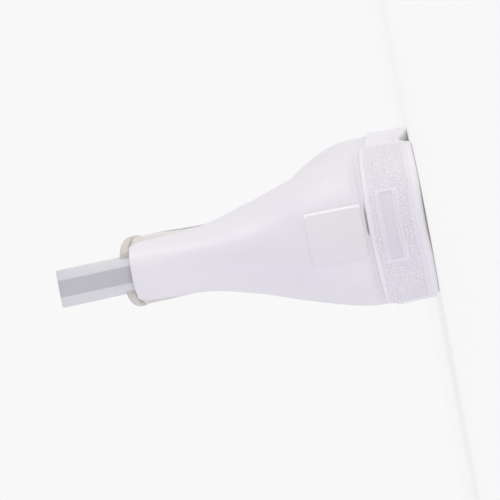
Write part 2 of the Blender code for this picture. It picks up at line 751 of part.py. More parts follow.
def loop_rings():
    """Outer and inner outline of the loop in side view, of equal count."""
    turn = np.linspace(0.0, 2.0 * math.pi, 25)[:-1]
    tall = LOOP_TOP - LOOP_THICK - LOOP_SPLIT
    z = LOOP_SPLIT + tall * 0.5 * (1.0 - np.cos(turn))
    swell = np.sin(0.5 * turn) ** 1.3
    y = 0.5 * LOOP_OPEN * np.sin(turn) * swell
    hole = np.column_stack([y, z])
    rim = hole - inward(hole) * LOOP_THICK
    rim[0] = (0.0, LOOP_ROOT)
    rim[1] = (LOOP_THICK, LOOP_ROOT)
    rim[-1] = (-LOOP_THICK, LOOP_ROOT)
    rim[2] = (LOOP_THICK, LINING_TOP + GAP)
    rim[-2] = (-LOOP_THICK, LINING_TOP + GAP)
    return rim, hole


def loop_place(flat, x):
    """Side view points set at a column across the loop."""
    z = flat[:, 1]
    lean = -LOOP_LEAN * np.clip(z - COLLAR_HEIGHT, 0.0, None)
    y = root_y + flat[:, 0] + collar_bow(np.full_like(z, x), z)
    return np.column_stack([x + lean, y, z])


rim_line, hole_line = loop_rings()
loop_count = len(rim_line)
loop_rows = [np.vstack([loop_place(rim_line, x), loop_place(hole_line, x)]) for x in LOOP_COLUMNS]
loop_points = np.vstack(loop_rows)
loop_faces = []
for j in range(len(LOOP_COLUMNS) - 1):
    base = j * 2 * loop_count
    above = base + 2 * loop_count
    for part in (0, loop_count):
        for k in range(loop_count):
            after = (k + 1) % loop_count
            left = base + part
            right = above + part
            loop_faces.append((left + k, left + after, right + after, right + k))
for base in (0, (len(LOOP_COLUMNS) - 1) * 2 * loop_count):
    for k in range(loop_count):
        after = (k + 1) % loop_count
        loop_faces.append((base + k, base + after, base + loop_count + after, base + loop_count + k))
add_object("pull_loop", loop_points, loop_faces, "webbing")

# Room for the loop's root in the lining band
notch_columns = np.linspace(-0.5, 0.5, 5) * (LOOP_WIDTH + 2.0 * GAP + 0.4)
notch_rows = []
for z in (LOOP_ROOT - GAP, LOOP_TOP):
    bow = collar_bow(notch_columns, np.full(5, COLLAR_HEIGHT))
    level = np.full(5, z)
    behind = np.column_stack([notch_columns, np.full(5, -10.0), level])
    front = np.column_stack([notch_columns, root_y + LOOP_THICK + GAP + bow, level])
    notch_rows.append(np.stack([behind, front]))
notch_low, notch_high = notch_rows
cut(lining, [plate_object("notch", notch_low, notch_high, None)])

# Insole: wedge on the sole's floor inside the upper
insole_line = inset(sole_line, UPPER_INSET + SHELL_THICK + 0.6)
insole_low = np.full(sole_count, FLOOR_HEIGHT + GAP)
wedge = smooth_step((WEDGE_FROM - station) / WEDGE_OVER)
thick = INSOLE_FRONT + (INSOLE_HEEL - INSOLE_FRONT) * wedge
insole_points = np.vstack([raised(insole_line, insole_low), raised(insole_line, insole_low + thick)])
insole_faces = ring_faces(2, sole_count, False)
insole_faces += ladder_faces(0, sole_count) + ladder_faces(sole_count, sole_count)
add_object("insole", insole_points, insole_faces, "footbed")


def back_run(z, arc, line):
    """Points at signed distances along a closed outline from its back middle, and the outward vectors."""
    tip = int(np.argmin(line[:, 1]))
    turned = np.roll(line, len(line) // 2 - tip, axis=0)
    out = -inward(turned)
    run = np.concatenate([[0.0], np.cumsum(np.linalg.norm(np.diff(turned, axis=0), axis=1))])
    run -= run[len(line) // 2]
    if turned[len(line) // 2 + 3, 0] < turned[len(line) // 2, 0]:
        run = -run
    order = np.argsort(run)
    x = np.interp(arc, run[order], turned[order, 0])
    y = np.interp(arc, run[order], turned[order, 1])
    nx = np.interp(arc, run[order], out[order, 0])
    ny = np.interp(arc, run[order], out[order, 1])
    return np.column_stack([x, y, np.full_like(x, z)]), np.column_stack([nx, ny, np.zeros_like(nx)])


# Back patch: on the upper above the side wall
patch_faces = []
for z in np.linspace(PATCH_LOW, PATCH_HIGH, 9):
    section = collar_section(z, 240)
    section[:, 0] += upper_middle(section[:, 1], np.full(len(section), z))
    points, out = back_run(z, np.linspace(-PATCH_HALF, PATCH_HALF, 13), section[::-1])
    points[:, 2] += lift(points[:, 1], points[:, 2])
    patch_faces.append((points, out))
patch_grid = np.array([points for points, out in patch_faces])
patch_out = np.array([out for points, out in patch_faces])
patch_near = patch_grid + patch_out * GAP
patch_far = patch_grid + patch_out * (GAP + PATCH_THICK)
plate_object("back_patch", patch_far, patch_near, "white_rubber")

# Heel plate: on the side wall at the heel's back
plate_faces = []
for z in np.linspace(HEEL_PLATE_LOW, HEEL_PLATE_HIGH, 3):
    flare_share = (z - WALL_UPRIGHT_TO) / (wall_top(0.0) - 1.0 - WALL_UPRIGHT_TO)
    wall_line = inset(dense_outline, -WALL_FLARE * np.clip(flare_share, 0.0, 1.0))
    points, out = back_run(z, np.linspace(-HEEL_PLATE_HALF, HEEL_PLATE_HALF, 17), wall_line)
    points[:, 2] += lift(points[:, 1], points[:, 2])
    plate_faces.append((points, out))
plate_grid = np.array([points for points, out in plate_faces])
plate_out = np.array([out for points, out in plate_faces])
plate_near = plate_grid + plate_out * GAP
plate_far = plate_grid + plate_out * (GAP + HEEL_PLATE_THICK)
plate_object("heel_plate", plate_far, plate_near, "white_sole")

# Set the middle of the boot's own box over the origin
low = np.full(3, 1e9)
high = np.full(3, -1e9)
for item in made_objects:
    places = np.array([vert.co[:] for vert in item.data.vertices])
    low = np.minimum(low, places.min(axis=0))
    high = np.maximum(high, places.max(axis=0))
shift = np.array([-0.5 * (low[0] + high[0]), -0.5 * (low[1] + high[1]), -low[2]])
for item in made_objects:
    for vert in item.data.vertices:
        vert.co.x += shift[0]
        vert.co.y += shift[1]
        vert.co.z += shift[2]
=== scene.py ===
"""Ankle deck boot, right shoe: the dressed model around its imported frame.

Lengths are in millimetres in the boot's own drawing: station y runs from the heel's back edge
to the toe, x to the right, z up. Last.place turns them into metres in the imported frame.
"""
import logging
import math
from dataclasses import dataclass, fields
from enum import Enum
from functools import cached_property
from typing import Callable, NamedTuple, Optional, Sequence

import bpy
import numpy as np
from mathutils import Matrix, Vector


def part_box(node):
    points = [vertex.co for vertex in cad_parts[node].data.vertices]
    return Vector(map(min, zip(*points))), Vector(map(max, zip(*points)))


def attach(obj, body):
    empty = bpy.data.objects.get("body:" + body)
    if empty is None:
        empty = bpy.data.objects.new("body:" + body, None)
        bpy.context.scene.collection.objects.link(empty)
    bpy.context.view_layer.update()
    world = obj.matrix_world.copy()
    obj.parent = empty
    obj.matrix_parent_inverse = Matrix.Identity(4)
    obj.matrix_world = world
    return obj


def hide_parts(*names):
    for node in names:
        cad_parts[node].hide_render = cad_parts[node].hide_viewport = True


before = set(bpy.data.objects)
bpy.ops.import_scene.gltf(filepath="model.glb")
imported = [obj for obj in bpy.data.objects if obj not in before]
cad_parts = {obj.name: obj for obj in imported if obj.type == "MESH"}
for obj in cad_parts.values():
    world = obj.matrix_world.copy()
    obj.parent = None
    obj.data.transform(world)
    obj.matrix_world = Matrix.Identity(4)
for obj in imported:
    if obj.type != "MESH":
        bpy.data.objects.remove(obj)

LOG = logging.getLogger("deck_boot")
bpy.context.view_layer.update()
MM = 0.001
BODY = "root"

Array = np.ndarray
Colour = tuple[float, float, float]
Face = tuple[int, ...]
Pair = tuple[float, float]
Place = tuple[float, float, float]
Socket = bpy.types.NodeSocket


class Side(Enum):
    """The boot's two long sides; the value is the sign of x."""

    LATERAL = 1.0
    MEDIAL = -1.0


class Groove(Enum):
    """Kinds of tread groove, as width and depth."""

    WIDE = (2.2, 2.2)
    THIN = (1.1, 1.4)


class PlanRow(NamedTuple):
    """One station of the sole: middle line, half width, rim width, top of the side wall."""

    y: float
    middle: float
    half: float
    rim: float
    wall: float


class ProfileRow(NamedTuple):
    """One height of the upper in side view: back line and front line."""

    z: float
    back: float
    front: float


class FootRow(NamedTuple):
    """One station of the foot: greatest half width, its height, fullness over it."""

    y: float
    half: float
    girth: float
    full: float


class ShaftRow(NamedTuple):
    """One height of the shaft and its half width."""

    z: float
    half: float


class DentRow(NamedTuple):
    """One soft trough (depth over 0) or ridge of the upper: place, turn, reach and depth."""

    side: float
    y: float
    z: float
    turn: float
    long: float
    wide: float
    depth: float


class GrooveRow(NamedTuple):
    """One tread groove of one half: inner end, outer end and kind."""

    in_x: float
    in_y: float
    out_x: float
    out_y: float
    kind: Groove


class SipeRow(NamedTuple):
    """One row of heel sipes: its station and the middles of its zigzags."""

    y: float
    middles: tuple[float, ...]


def table(kind: type, *rows: tuple) -> tuple:
    """Rows of one kind from their plain values."""
    return tuple(kind(*row) for row in rows)


def smooth_step(value: Array) -> Array:
    """Ease from 0 to 1."""
    t = np.clip(value, 0.0, 1.0)
    return t * t * (3.0 - 2.0 * t)


def round_end(value: Array, power: float) -> Array:
    """Width left near a round end, 1 where it starts and 0 at the tip."""
    t = np.clip(value, 0.0, 1.0)
    return (1.0 - t ** power) ** (1.0 / power)


def shares(count: int) -> Array:
    """Shares of a length from 0 to 1, closer together at both ends."""
    return 0.5 * (1.0 - np.cos(np.linspace(0.0, math.pi, count + 1)))


def spans(count: int) -> Array:
    """Places from -1 to 1, closer together at both ends."""
    return np.sin(0.5 * math.pi * np.linspace(-1.0, 1.0, count))


def x_at(edge: Array, y: Array) -> Array:
    """x of an edge, given as rows of x and y, at each station."""
    return np.interp(y, edge[:, 1], edge[:, 0])


def inward(points: Array) -> Array:
    """Unit vectors that point into a closed outline.

    Args:
        points: rows of x and y, anticlockwise.

    Returns:
        One vector a row.
    """
    along = np.roll(points, -1, axis=0) - np.roll(points, 1, axis=0)
    normal = np.stack([-along[:, 1], along[:, 0]], axis=1)
    return normal / np.linalg.norm(normal, axis=1)[:, None]


def run_along(points: Array) -> Array:
    """Length along an open line up to each of its points."""
    steps = np.linalg.norm(np.diff(points, axis=0), axis=1)
    return np.concatenate([[0.0], np.cumsum(steps)])


def rounded_edge(u: Array, v: Array, half_u: float, half_v: float, corner: float) -> Array:
    """Distance to the edge of a rectangle with round corners, under 0 inside it.

    Args:
        u: places across, measured from the middle.
        v: places along, measured from the middle.
        half_u: half of its width.
        half_v: half of its length.
        corner: radius of its corners.

    Returns:
        A grid with one row for each v.
    """
    beside = np.abs(u)[None, :] - (half_u - corner)
    beyond = np.abs(v)[:, None] - (half_v - corner)
    outside = np.hypot(np.maximum(beside, 0.0), np.maximum(beyond, 0.0))
    return outside + np.minimum(np.maximum(beside, beyond), 0.0) - corner


def at_lengths(where: Array, run: Array, line: Array, out: Array) -> tuple[Array, Array]:
    """Points of a line, and its outward vectors, at given lengths along it.

    Args:
        where: signed lengths.
        run: length at each point of the line.
        line: rows of x and y.
        out: outward vector at each point of the line.

    Returns:
        Rows of points and rows of unit vectors.
    """
    order = np.argsort(run)
    spots = np.stack([np.interp(where, run[order], line[order, k]) for k in (0, 1)], axis=1)
    ways = np.stack([np.interp(where, run[order], out[order, k]) for k in (0, 1)], axis=1)
    return spots, ways / np.linalg.norm(ways, axis=1)[:, None]


def linear(red: float, green: float, blue: float) -> Colour:
    """Linear colour of an sRGB colour.

    Args:
        red: red from 0 to 255.
        green: green from 0 to 255.
        blue: blue from 0 to 255.

    Returns:
        The three linear parts from 0 to 1.
    """
    parts = []
    for value in (red, green, blue):
        share = value / 255.0
        parts.append(share / 12.92 if share <= 0.04045 else ((share + 0.055) / 1.055) ** 2.4)
    return parts[0], parts[1], parts[2]


class Curve:
    """A smooth curve through one named column of a table, free of overshoot."""

    def __init__(self, rows: Sequence[NamedTuple], key: str, name: str) -> None:
        """Read two columns of a table.

        Args:
            rows: rows of the table, key rising.
            key: column that the curve runs along.
            name: column that the curve gives.
        """
        self.xs = np.array([getattr(row, key) for row in rows])
        self.ys = np.array([getattr(row, name) for row in rows])
        self.grades = self._slopes()

    def _slopes(self) -> Array:
        """Slopes at the rows, as weighted harmonic means of their neighbours.

        Returns:
            One slope a row, 0 at a turning point.
        """
        step = np.diff(self.xs)
        rate = np.diff(self.ys) / step
        result = np.zeros(len(self.xs))
        for i in range(1, len(self.xs) - 1):
            if rate[i - 1] * rate[i] > 0.0:
                before = 2.0 * step[i] + step[i - 1]
                after = step[i] + 2.0 * step[i - 1]
                result[i] = (before + after) / (before / rate[i - 1] + after / rate[i])
        result[[0, -1]] = rate[[0, -1]]
        return result

    def __call__(self, at: Array) -> Array:
        """Value at each place, held level past both ends.

        Args:
            at: places along the key column.

        Returns:
            One value a place.
        """
        at = np.clip(np.asarray(at, dtype=float), self.xs[0], self.xs[-1])
        i = np.clip(np.searchsorted(self.xs, at, side="right") - 1, 0, len(self.xs) - 2)
        step = self.xs[i + 1] - self.xs[i]
        t = (at - self.xs[i]) / step
        stay = (1.0 + 2.0 * t) * (1.0 - t) ** 2 * self.ys[i] + t * t * (3.0 - 2.0 * t) * self.ys[i + 1]
        turn = t * (1.0 - t) ** 2 * step * self.grades[i] - t * t * (1.0 - t) * step * self.grades[i + 1]
        return stay + turn


@dataclass(frozen=True)
class Last:
    """Form of the boot: sole outline, side view, foot, shaft and gore slot, as in its solids."""

    sole_length: float = 272.0
    heel_round: float = 50.0
    toe_round_from: float = 192.0
    heel_power: float = 2.0
    toe_power: float = 2.1
    arch_rise: float = 5.0
    arch_from: float = 74.0
    arch_to: float = 156.0
    arch_fade: float = 34.0
    toe_spring: float = 10.0
    toe_spring_from: float = 206.0
    toe_spring_reach: float = 1.2
    heel_bevel: float = 1.6
    heel_bevel_to: float = 9.0
    floor_height: float = 10.0
    wall_thick: float = 3.2
    wall_flare: float = 0.5
    upper_flare: float = 2.2
    gap: float = 0.3
    shell_thick: float = 2.2
    collar_height: float = 150.0
    ankle_top: float = 145.0
    instep_at: float = 155.0
    heel_cap_length: float = 45.0
    heel_cap_power: float = 2.2
    straight_from: float = 45.0
    straight_over: float = 60.0
    union_power: float = 6.0
    shaft_power: float = 2.8
    gore_centre: float = 62.0
    gore_bottom: float = 88.0
    gore_slope: float = 0.485
    gore_round: float = 7.7
    gore_corner: float = 6.0
    gore_open: float = 0.8
    foot_seam: float = 0.5
    ridge_span: Pair = (158.0, 33.0)
    ridge_points: int = 500
    solid_half_columns: int = 28
    dense: int = 900
    plan: tuple[PlanRow, ...] = table(
        PlanRow,
        (0.0, 0.0, 40.0, 17.0, 28.5),
        (50.0, 0.0, 40.0, 14.6, 26.5),
        (81.0, 0.7, 39.8, 14.4, 24.5),
        (103.0, 2.8, 39.2, 15.4, 23.5),
        (125.0, 4.2, 40.6, 15.4, 23.0),
        (150.0, 3.9, 44.4, 14.2, 23.0),
        (176.0, 1.5, 48.4, 12.8, 23.0),
        (192.0, 0.1, 49.6, 12.2, 23.3),
        (225.0, -3.0, 49.6, 11.4, 24.2),
        (250.0, -5.3, 49.6, 10.4, 25.2),
        (272.0, -8.0, 49.6, 9.5, 26.0),
    )
    profile: tuple[ProfileRow, ...] = table(
        ProfileRow,
        (9.0, 3.6, 268.4), (27.0, 1.4, 270.6), (32.0, 1.1, 270.4), (37.0, 1.0, 268.4),
        (42.0, 1.1, 263.8), (46.5, 1.4, 257.2), (50.5, 1.9, 249.0), (54.5, 2.7, 238.4),
        (58.5, 3.6, 225.8), (63.0, 4.9, 211.2), (68.0, 6.4, 197.2), (74.0, 8.2, 183.6),
        (81.0, 10.1, 171.0), (89.0, 11.8, 159.6), (98.0, 13.2, 149.6), (108.0, 14.1, 141.2),
        (119.0, 14.6, 134.8), (131.0, 14.5, 130.4), (143.0, 13.8, 127.7), (160.0, 12.6, 125.4),
    )
    foot: tuple[FootRow, ...] = table(
        FootRow,
        (0.0, 39.4, 36.0, 1.15),
        (75.0, 39.3, 36.0, 1.15),
        (105.0, 38.4, 36.0, 1.16),
        (135.0, 40.6, 35.0, 1.3),
        (165.0, 45.4, 34.0, 1.7),
        (192.0, 48.2, 33.0, 2.05),
        (225.0, 48.5, 32.0, 2.3),
        (272.0, 48.4, 31.5, 2.4),
    )
    shaft: tuple[ShaftRow, ...] = table(
        ShaftRow,
        (58.0, 0.0), (74.0, 12.0), (90.0, 16.2), (113.0, 17.0),
        (126.0, 17.5), (140.0, 18.2), (160.0, 18.5),
    )

    @cached_property
    def middle(self) -> Curve:
        """Middle line of the sole along the station."""
        return Curve(self.plan, "y", "middle")

    @cached_property
    def body(self) -> Curve:
        """Half width of the sole before its round ends."""
        return Curve(self.plan, "y", "half")

    @cached_property
    def rim(self) -> Curve:
        """Width of the white rim underneath."""
        return Curve(self.plan, "y", "rim")

    @cached_property
    def wall_top(self) -> Curve:
        """Height of the side wall."""
        return Curve(self.plan, "y", "wall")

    @cached_property
    def back_line(self) -> Curve:
        """Back line of the upper along the height."""
        return Curve(self.profile, "z", "back")

    @cached_property
    def front_line(self) -> Curve:
        """Front line of the upper along the height."""
        return Curve(self.profile, "z", "front")

    @cached_property
    def foot_curves(self) -> tuple[Curve, Curve, Curve]:
        """Half width, girth height and fullness of the foot along the station."""
        half, girth, full = (Curve(self.foot, "y", name) for name in ("half", "girth", "full"))
        return half, girth, full

    @cached_property
    def shaft_half(self) -> Curve:
        """Half width of the shaft along the height."""
        return Curve(self.shaft, "z", "half")

    @property
    def seat_height(self) -> float:
        """Height of the floor on which upper and footbed stand."""
        return self.floor_height + self.gap

    @cached_property
    def shift(self) -> Array:
        """Step from the drawing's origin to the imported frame's, read off the outsole's box.

        Returns:
            The step in millimetres.
        """
        low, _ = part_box("outsole")
        line = self.outline(self.sole_length * shares(self.solid_half_columns))
        edge = line - inward(line) * self.wall_flare
        return np.array([low[0] / MM - edge[:, 0].min(), low[1] / MM - edge[:, 1].min(), 0.0])

    def place(self, points: Array) -> Array:
        """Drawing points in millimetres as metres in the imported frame."""
        return (np.asarray(points) + self.shift) * MM

    def sole_half(self, y: Array) -> Array:
        """Half width of the sole with its round ends.

        Args:
            y: stations.

        Returns:
            One half width a station.
        """
        heel = round_end((self.heel_round - y) / self.heel_round, self.heel_power)
        toe = round_end((y - self.toe_round_from) / (self.sole_length - self.toe_round_from), self.toe_power)
        return self.body(y) * heel * toe

    def lift(self, y: Array, z: Array) -> Array:
        """Rise of the flat drawing: arch and heel bevel fade with height, the toe spring does not.

        Args:
            y: stations.
            z: drawing heights.

        Returns:
            What is added to each height.
        """
        fade = 1.0 - smooth_step(z / self.arch_fade)
        across = (y - self.arch_from) / (self.arch_to - self.arch_from)
        arch = self.arch_rise * np.sin(math.pi * np.clip(across, 0.0, 1.0)) ** 2
        bevel = self.heel_bevel * np.clip(1.0 - y / self.heel_bevel_to, 0.0, 1.0) ** 2
        reach = (y - self.toe_spring_from) / (self.sole_length - self.toe_spring_from)
        spring = self.toe_spring * np.clip(reach, 0.0, self.toe_spring_reach) ** 2
        return (arch + bevel) * fade + spring

    def raised(self, points_xy: Array, heights: Array) -> Array:
        """Flat points set at heights and given the sole's lift.

        Args:
            points_xy: x and y of each point.
            heights: drawing height of each point.

        Returns:
            x, y and z of each point.
        """
        heights = np.broadcast_to(np.asarray(heights, dtype=float), points_xy.shape[:-1])
        rise = heights + self.lift(points_xy[..., 1], heights)
        return np.concatenate([points_xy, rise[..., None]], axis=-1)

    def outline(self, stations: Array) -> Array:
        """Sole outline, heel tip first, up the lateral side and back down the medial.

        Args:
            stations: stations from heel to toe.

        Returns:
            Rows of x and y of the closed outline.
        """
        half = self.sole_half(stations)
        lateral = np.stack([self.middle(stations) + half, stations], axis=1)
        medial = np.stack([self.middle(stations) - half, stations], axis=1)
        return np.vstack([lateral, medial[1:-1][::-1]])

    def sides(self, distance: Callable[[Array], Array]) -> tuple[Array, Array]:
        """Lateral and medial edge of the outline moved in by a distance along the station.

        Args:
            distance: inset in millimetres as a function of the station.

        Returns:
            Two arrays of x and y rows, each from heel to toe.
        """
        line = self.outline(self.sole_length * shares(self.dense))
        moved = line + inward(line) * distance(line[:, 1])[:, None]
        return moved[:self.dense + 1], np.vstack([moved[self.dense:], moved[:1]])[::-1]

    @cached_property
    def seat_edges(self) -> tuple[tuple[Array, Array], tuple[Array, Array]]:
        """Edges of the upper where it stands in the sole.

        Returns:
            Lateral and medial edge at the floor, and the same at the wall's top.
        """
        low = self.wall_thick + self.gap
        high = low - self.upper_flare
        return self.sides(lambda y: np.full_like(y, low)), self.sides(lambda y: np.full_like(y, high))

    def seat_sides(self, y: Array, z: Array) -> tuple[Array, Array]:
        """Edges of the upper in the sole between floor and wall top.

        Args:
            y: stations.
            z: drawing heights.

        Returns:
            x of the lateral edge and x of the medial edge.
        """
        share = np.clip((z - self.floor_height) / (self.wall_top(y) - self.floor_height), 0.0, 1.0)
        low, high = self.seat_edges
        found = []
        for under, over in zip(low, high):
            start = x_at(under, y)
            found.append(start + share * (x_at(over, y) - start))
        return found[0], found[1]

    @cached_property
    def ridge_table(self) -> tuple[Array, Array]:
        """Stations and heights of the front line, station rising."""
        heights = np.linspace(*self.ridge_span, self.ridge_points)
        return self.front_line(heights), heights

    def ridge(self, y: Array) -> Array:
        """Height of the foot's top line: the front line to the instep, then a curve level at the ankle.

        Args:
            y: stations.

        Returns:
            One height a station.
        """
        line = np.interp(y, *self.ridge_table)
        top, after = np.interp([self.instep_at, self.instep_at + 1.0], *self.ridge_table)
        start = self.instep_at - 2.0 * (self.ankle_top - top) / (top - after)
        share = np.clip((y - start) / (self.instep_at - start), 0.0, 1.0)
        return np.where(y > self.instep_at, line, self.ankle_top - (self.ankle_top - top) * share ** 2)

    def upper_half(self, y: Array, z: Array) -> Array:
        """Half width of the upper's outer face: foot and shaft run into one another.

        Args:
            y: stations.
            z: drawing heights.

        Returns:
            One half width a place.
        """
        lateral, medial = self.seat_sides(y, z)
        foot_half, foot_girth, foot_full = self.foot_curves
        girth = foot_girth(y)
        from_back = y - self.back_line(z)
        heel = round_end((self.heel_cap_length - from_back) / self.heel_cap_length, self.heel_cap_power)
        tip = self.front_line(np.minimum(z, girth))
        toe = round_end((y - self.toe_round_from) / (tip - self.toe_round_from), self.toe_power)
        wide = foot_half(y) * heel * toe
        start = self.wall_top(y) + self.foot_seam
        swell = smooth_step((z - start) / (girth - start))
        power = foot_full(y)
        over = np.clip((z - girth) / np.maximum(self.ridge(y) - girth, self.foot_seam), 0.0, 1.0)
        seat = 0.5 * (lateral - medial)
        foot = ((1.0 - swell) * seat + swell * wide) * (1.0 - over ** power) ** (1.0 / power)
        middle = 0.5 * (self.front_line(z) + self.back_line(z))
        reach = 0.5 * (self.front_line(z) - self.back_line(z))
        shaft = self.shaft_half(z) * round_end(np.abs(y - middle) / reach, self.shaft_power)
        return (foot ** self.union_power + shaft ** self.union_power) ** (1.0 / self.union_power)

    def upper_middle(self, y: Array, z: Array) -> Array:
        """Middle line of the upper: the foot's curve, straight in the shaft."""
        lateral, medial = self.seat_sides(y, z)
        return 0.5 * (lateral + medial) * (1.0 - smooth_step((z - self.straight_from) / self.straight_over))

    def upper_point(self, side: float, y: Array, z: Array) -> Array:
        """Point of the upper's outer face on one side."""
        x = self.upper_middle(y, z) + side * self.upper_half(y, z)
        return np.stack([x, y, z + self.lift(y, z)], axis=-1)

    def upper_normal(self, side: float, y: Array, z: Array) -> Array:
        """Outward unit vector of the outer face away from its front and back lines.

        Args:
            side: sign of the side.
            y: stations.
            z: drawing heights.

        Returns:
            One vector a place.
        """
        small = 0.2
        along = self.upper_point(side, y + small, z) - self.upper_point(side, y - small, z)
        rising = self.upper_point(side, y, z + small) - self.upper_point(side, y, z - small)
        normal = side * np.cross(along, rising)
        return normal / np.linalg.norm(normal, axis=-1)[..., None]

    def gore_half(self, z: Array) -> Array:
        """Half width of the side slot at a height: a rounded point that opens evenly."""
        rise = self.gore_slope * np.clip(z - self.gore_bottom, 0.0, None)
        return np.sqrt(rise * rise + 2.0 * rise * self.gore_round)

    def slot_half(self, z: Array) -> Array:
        """Half width of the slot with the panel corners rounded at the collar.

        Args:
            z: drawing heights.

        Returns:
            One half width a height.
        """
        into = np.clip(z - self.collar_height + self.gore_corner, 0.0, self.gore_corner)
        corner = self.gore_corner - np.sqrt(np.clip(self.gore_corner ** 2 - into ** 2, 0.0, None))
        return self.gore_half(z) + self.gore_open * corner

    def section(self, z: float, half_columns: int) -> Array:
        """Outer outline of the upper at a height, front first, lateral then medial.

        Args:
            z: drawing height in millimetres.
            half_columns: steps from the front line to the back line.

        Returns:
            Rows of x and y of the closed outline.
        """
        y = self.front_line(z) + (self.back_line(z) - self.front_line(z)) * shares(half_columns)
        height = np.full_like(y, z)
        half = self.upper_half(y, height)
        half[[0, -1]] = 0.0
        middle = self.upper_middle(y, height)
        lateral = np.column_stack([middle + half, y])
        medial = np.column_stack([middle - half, y])[1:-1][::-1]
        return np.vstack([lateral, medial])


def ring_faces(rings: int, count: int, closed: bool = False) -> list[Face]:
    """Quads between rings of points.

    Args:
        rings: number of rings.
        count: points in a ring.
        closed: whether the last ring is joined to the first.

    Returns:
        The faces.
    """
    faces = []
    for i in range(rings if closed else rings - 1):
        base = i * count
        above = ((i + 1) % rings) * count
        for k in range(count):
            after = (k + 1) % count
            faces.append((base + k, base + after, above + after, above + k))
    return faces


def grid_faces(rows: int, cols: int) -> list[Face]:
    """Quads of an open grid.

    Args:
        rows: rows of points.
        cols: points in a row.

    Returns:
        The faces.
    """
    faces = []
    for i in range(rows - 1):
        for a in range(i * cols, i * cols + cols - 1):
            faces.append((a, a + 1, a + cols + 1, a + cols))
    return faces


def ladder_faces(start: int, count: int) -> list[Face]:
    """Cap of a ring that has one tip at each end, as rungs from side to side.

    Args:
        start: index of the first tip.
        count: points in the ring.

    Returns:
        The faces.
    """
    half = count // 2
    faces = [(start, start + 1, start + count - 1)]
    for k in range(1, half - 1):
        faces.append((start + k, start + k + 1, start + count - k - 1, start + count - k))
    faces.append((start + half - 1, start + half, start + half + 1))
    return faces


def edge_ring(rows: int, cols: int) -> list[int]:
    """Indices round the edge of a grid.

    Args:
        rows: rows of points.
        cols: points in a row.

    Returns:
        Each edge point once, in order.
    """
    edge = list(range(cols))
    edge += [i * cols + cols - 1 for i in range(1, rows)]
    edge += [(rows - 1) * cols + j for j in range(cols - 2, -1, -1)]
    edge += [i * cols for i in range(rows - 2, 0, -1)]
    return edge


class Shader:
    """A node material with its Principled shader and short ways to add nodes."""

    def __init__(self, name: str) -> None:
        """Start an empty node material.

        Args:
            name: name of the material.
        """
        self.material = bpy.data.materials.new(name)
        self.material.use_nodes = True
        self.tree = self.material.node_tree
        self.surface = self.tree.nodes["Principled BSDF"]

    def set(self, **values: object) -> None:
        """Set constants on the Principled shader; an underscore stands for a space."""
        for key, value in values.items():
            self.surface.inputs[key.replace("_", " ")].default_value = value

    def node(self, kind: str, **inputs: object) -> bpy.types.Node:
        """Add a node.

        Args:
            kind: Blender's name for the node.
            inputs: sockets to link and values to set, by input name or as an underscore and its number.

        Returns:
            The new node.
        """
        made = self.tree.nodes.new(kind)
        for key, value in inputs.items():
            socket = made.inputs[int(key[1:])] if key[1:].isdigit() else made.inputs[key.replace("_", " ")]
            if isinstance(value, Socket):
                self.tree.links.new(value, socket)
            else:
                socket.default_value = value
        return made

    def feed(self, source: Socket, name: str) -> None:
        """Link a socket to an input of the Principled shader."""
        self.tree.links.new(source, self.surface.inputs[name])

    @cached_property
    def place(self) -> Socket:
        """Object coordinates in metres."""
        return self.tree.nodes.new("ShaderNodeTexCoord").outputs["Object"]

    def attribute(self, name: str) -> Socket:
        """A float attribute of the mesh.

        Args:
            name: name of the attribute.

        Returns:
            Its value.
        """
        made = self.tree.nodes.new("ShaderNodeAttribute")
        made.attribute_name = name
        return made.outputs["Fac"]

    def noise(self, scale: float, detail: float) -> Socket:
        """Noise in object space, between 0 and 1."""
        return self.node("ShaderNodeTexNoise", Vector=self.place, Scale=scale, Detail=detail).outputs["Fac"]

    def math(self, how: str, first: object, second: object = 0.0) -> Socket:
        """One sum of one or two values.

        Args:
            how: Blender's name for the sum.
            first: first value or socket.
            second: second value or socket.

        Returns:
            The result.
        """
        made = self.node("ShaderNodeMath", _0=first, _1=second)
        made.operation = how
        return made.outputs[0]

    def spread(
            self, value: Socket, low: float, high: float, to_low: float = 0.0, to_high: float = 1.0
    ) -> Socket:
        """Map a value from one span to another, held at both ends.

        Args:
            value: what is mapped.
            low: start of the first span.
            high: end of the first span.
            to_low: start of the second span.
            to_high: end of the second span.

        Returns:
            The mapped value.
        """
        made = self.node(
            "ShaderNodeMapRange", Value=value, From_Min=low, From_Max=high, To_Min=to_low, To_Max=to_high)
        return made.outputs["Result"]

    def blend(self, share: Socket, first: object, second: object) -> Socket:
        """Mix of two colours.

        Args:
            share: share of the second colour.
            first: first colour or socket.
            second: second colour or socket.

        Returns:
            The mixed colour.
        """
        made = self.tree.nodes.new("ShaderNodeMix")
        made.data_type = "RGBA"
        self.tree.links.new(share, made.inputs[0])
        for index, value in ((6, first), (7, second)):
            if isinstance(value, Socket):
                self.tree.links.new(value, made.inputs[index])
            else:
                made.inputs[index].default_value = (*value, 1.0)
        return made.outputs[2]

    def bump(
            self, height: Socket, strength: float, distance: float, under: Optional[Socket] = None
    ) -> Socket:
        """Bumped normal.

        Args:
            height: what the bump follows.
            strength: its strength.
            distance: its depth in metres.
            under: bumped normal on which it lies.

        Returns:
            The new normal.
        """
        made = self.node("ShaderNodeBump", Height=height, Strength=strength, Distance=distance)
        if under is not None:
            self.tree.links.new(under, made.inputs["Normal"])
        return made.outputs["Normal"]


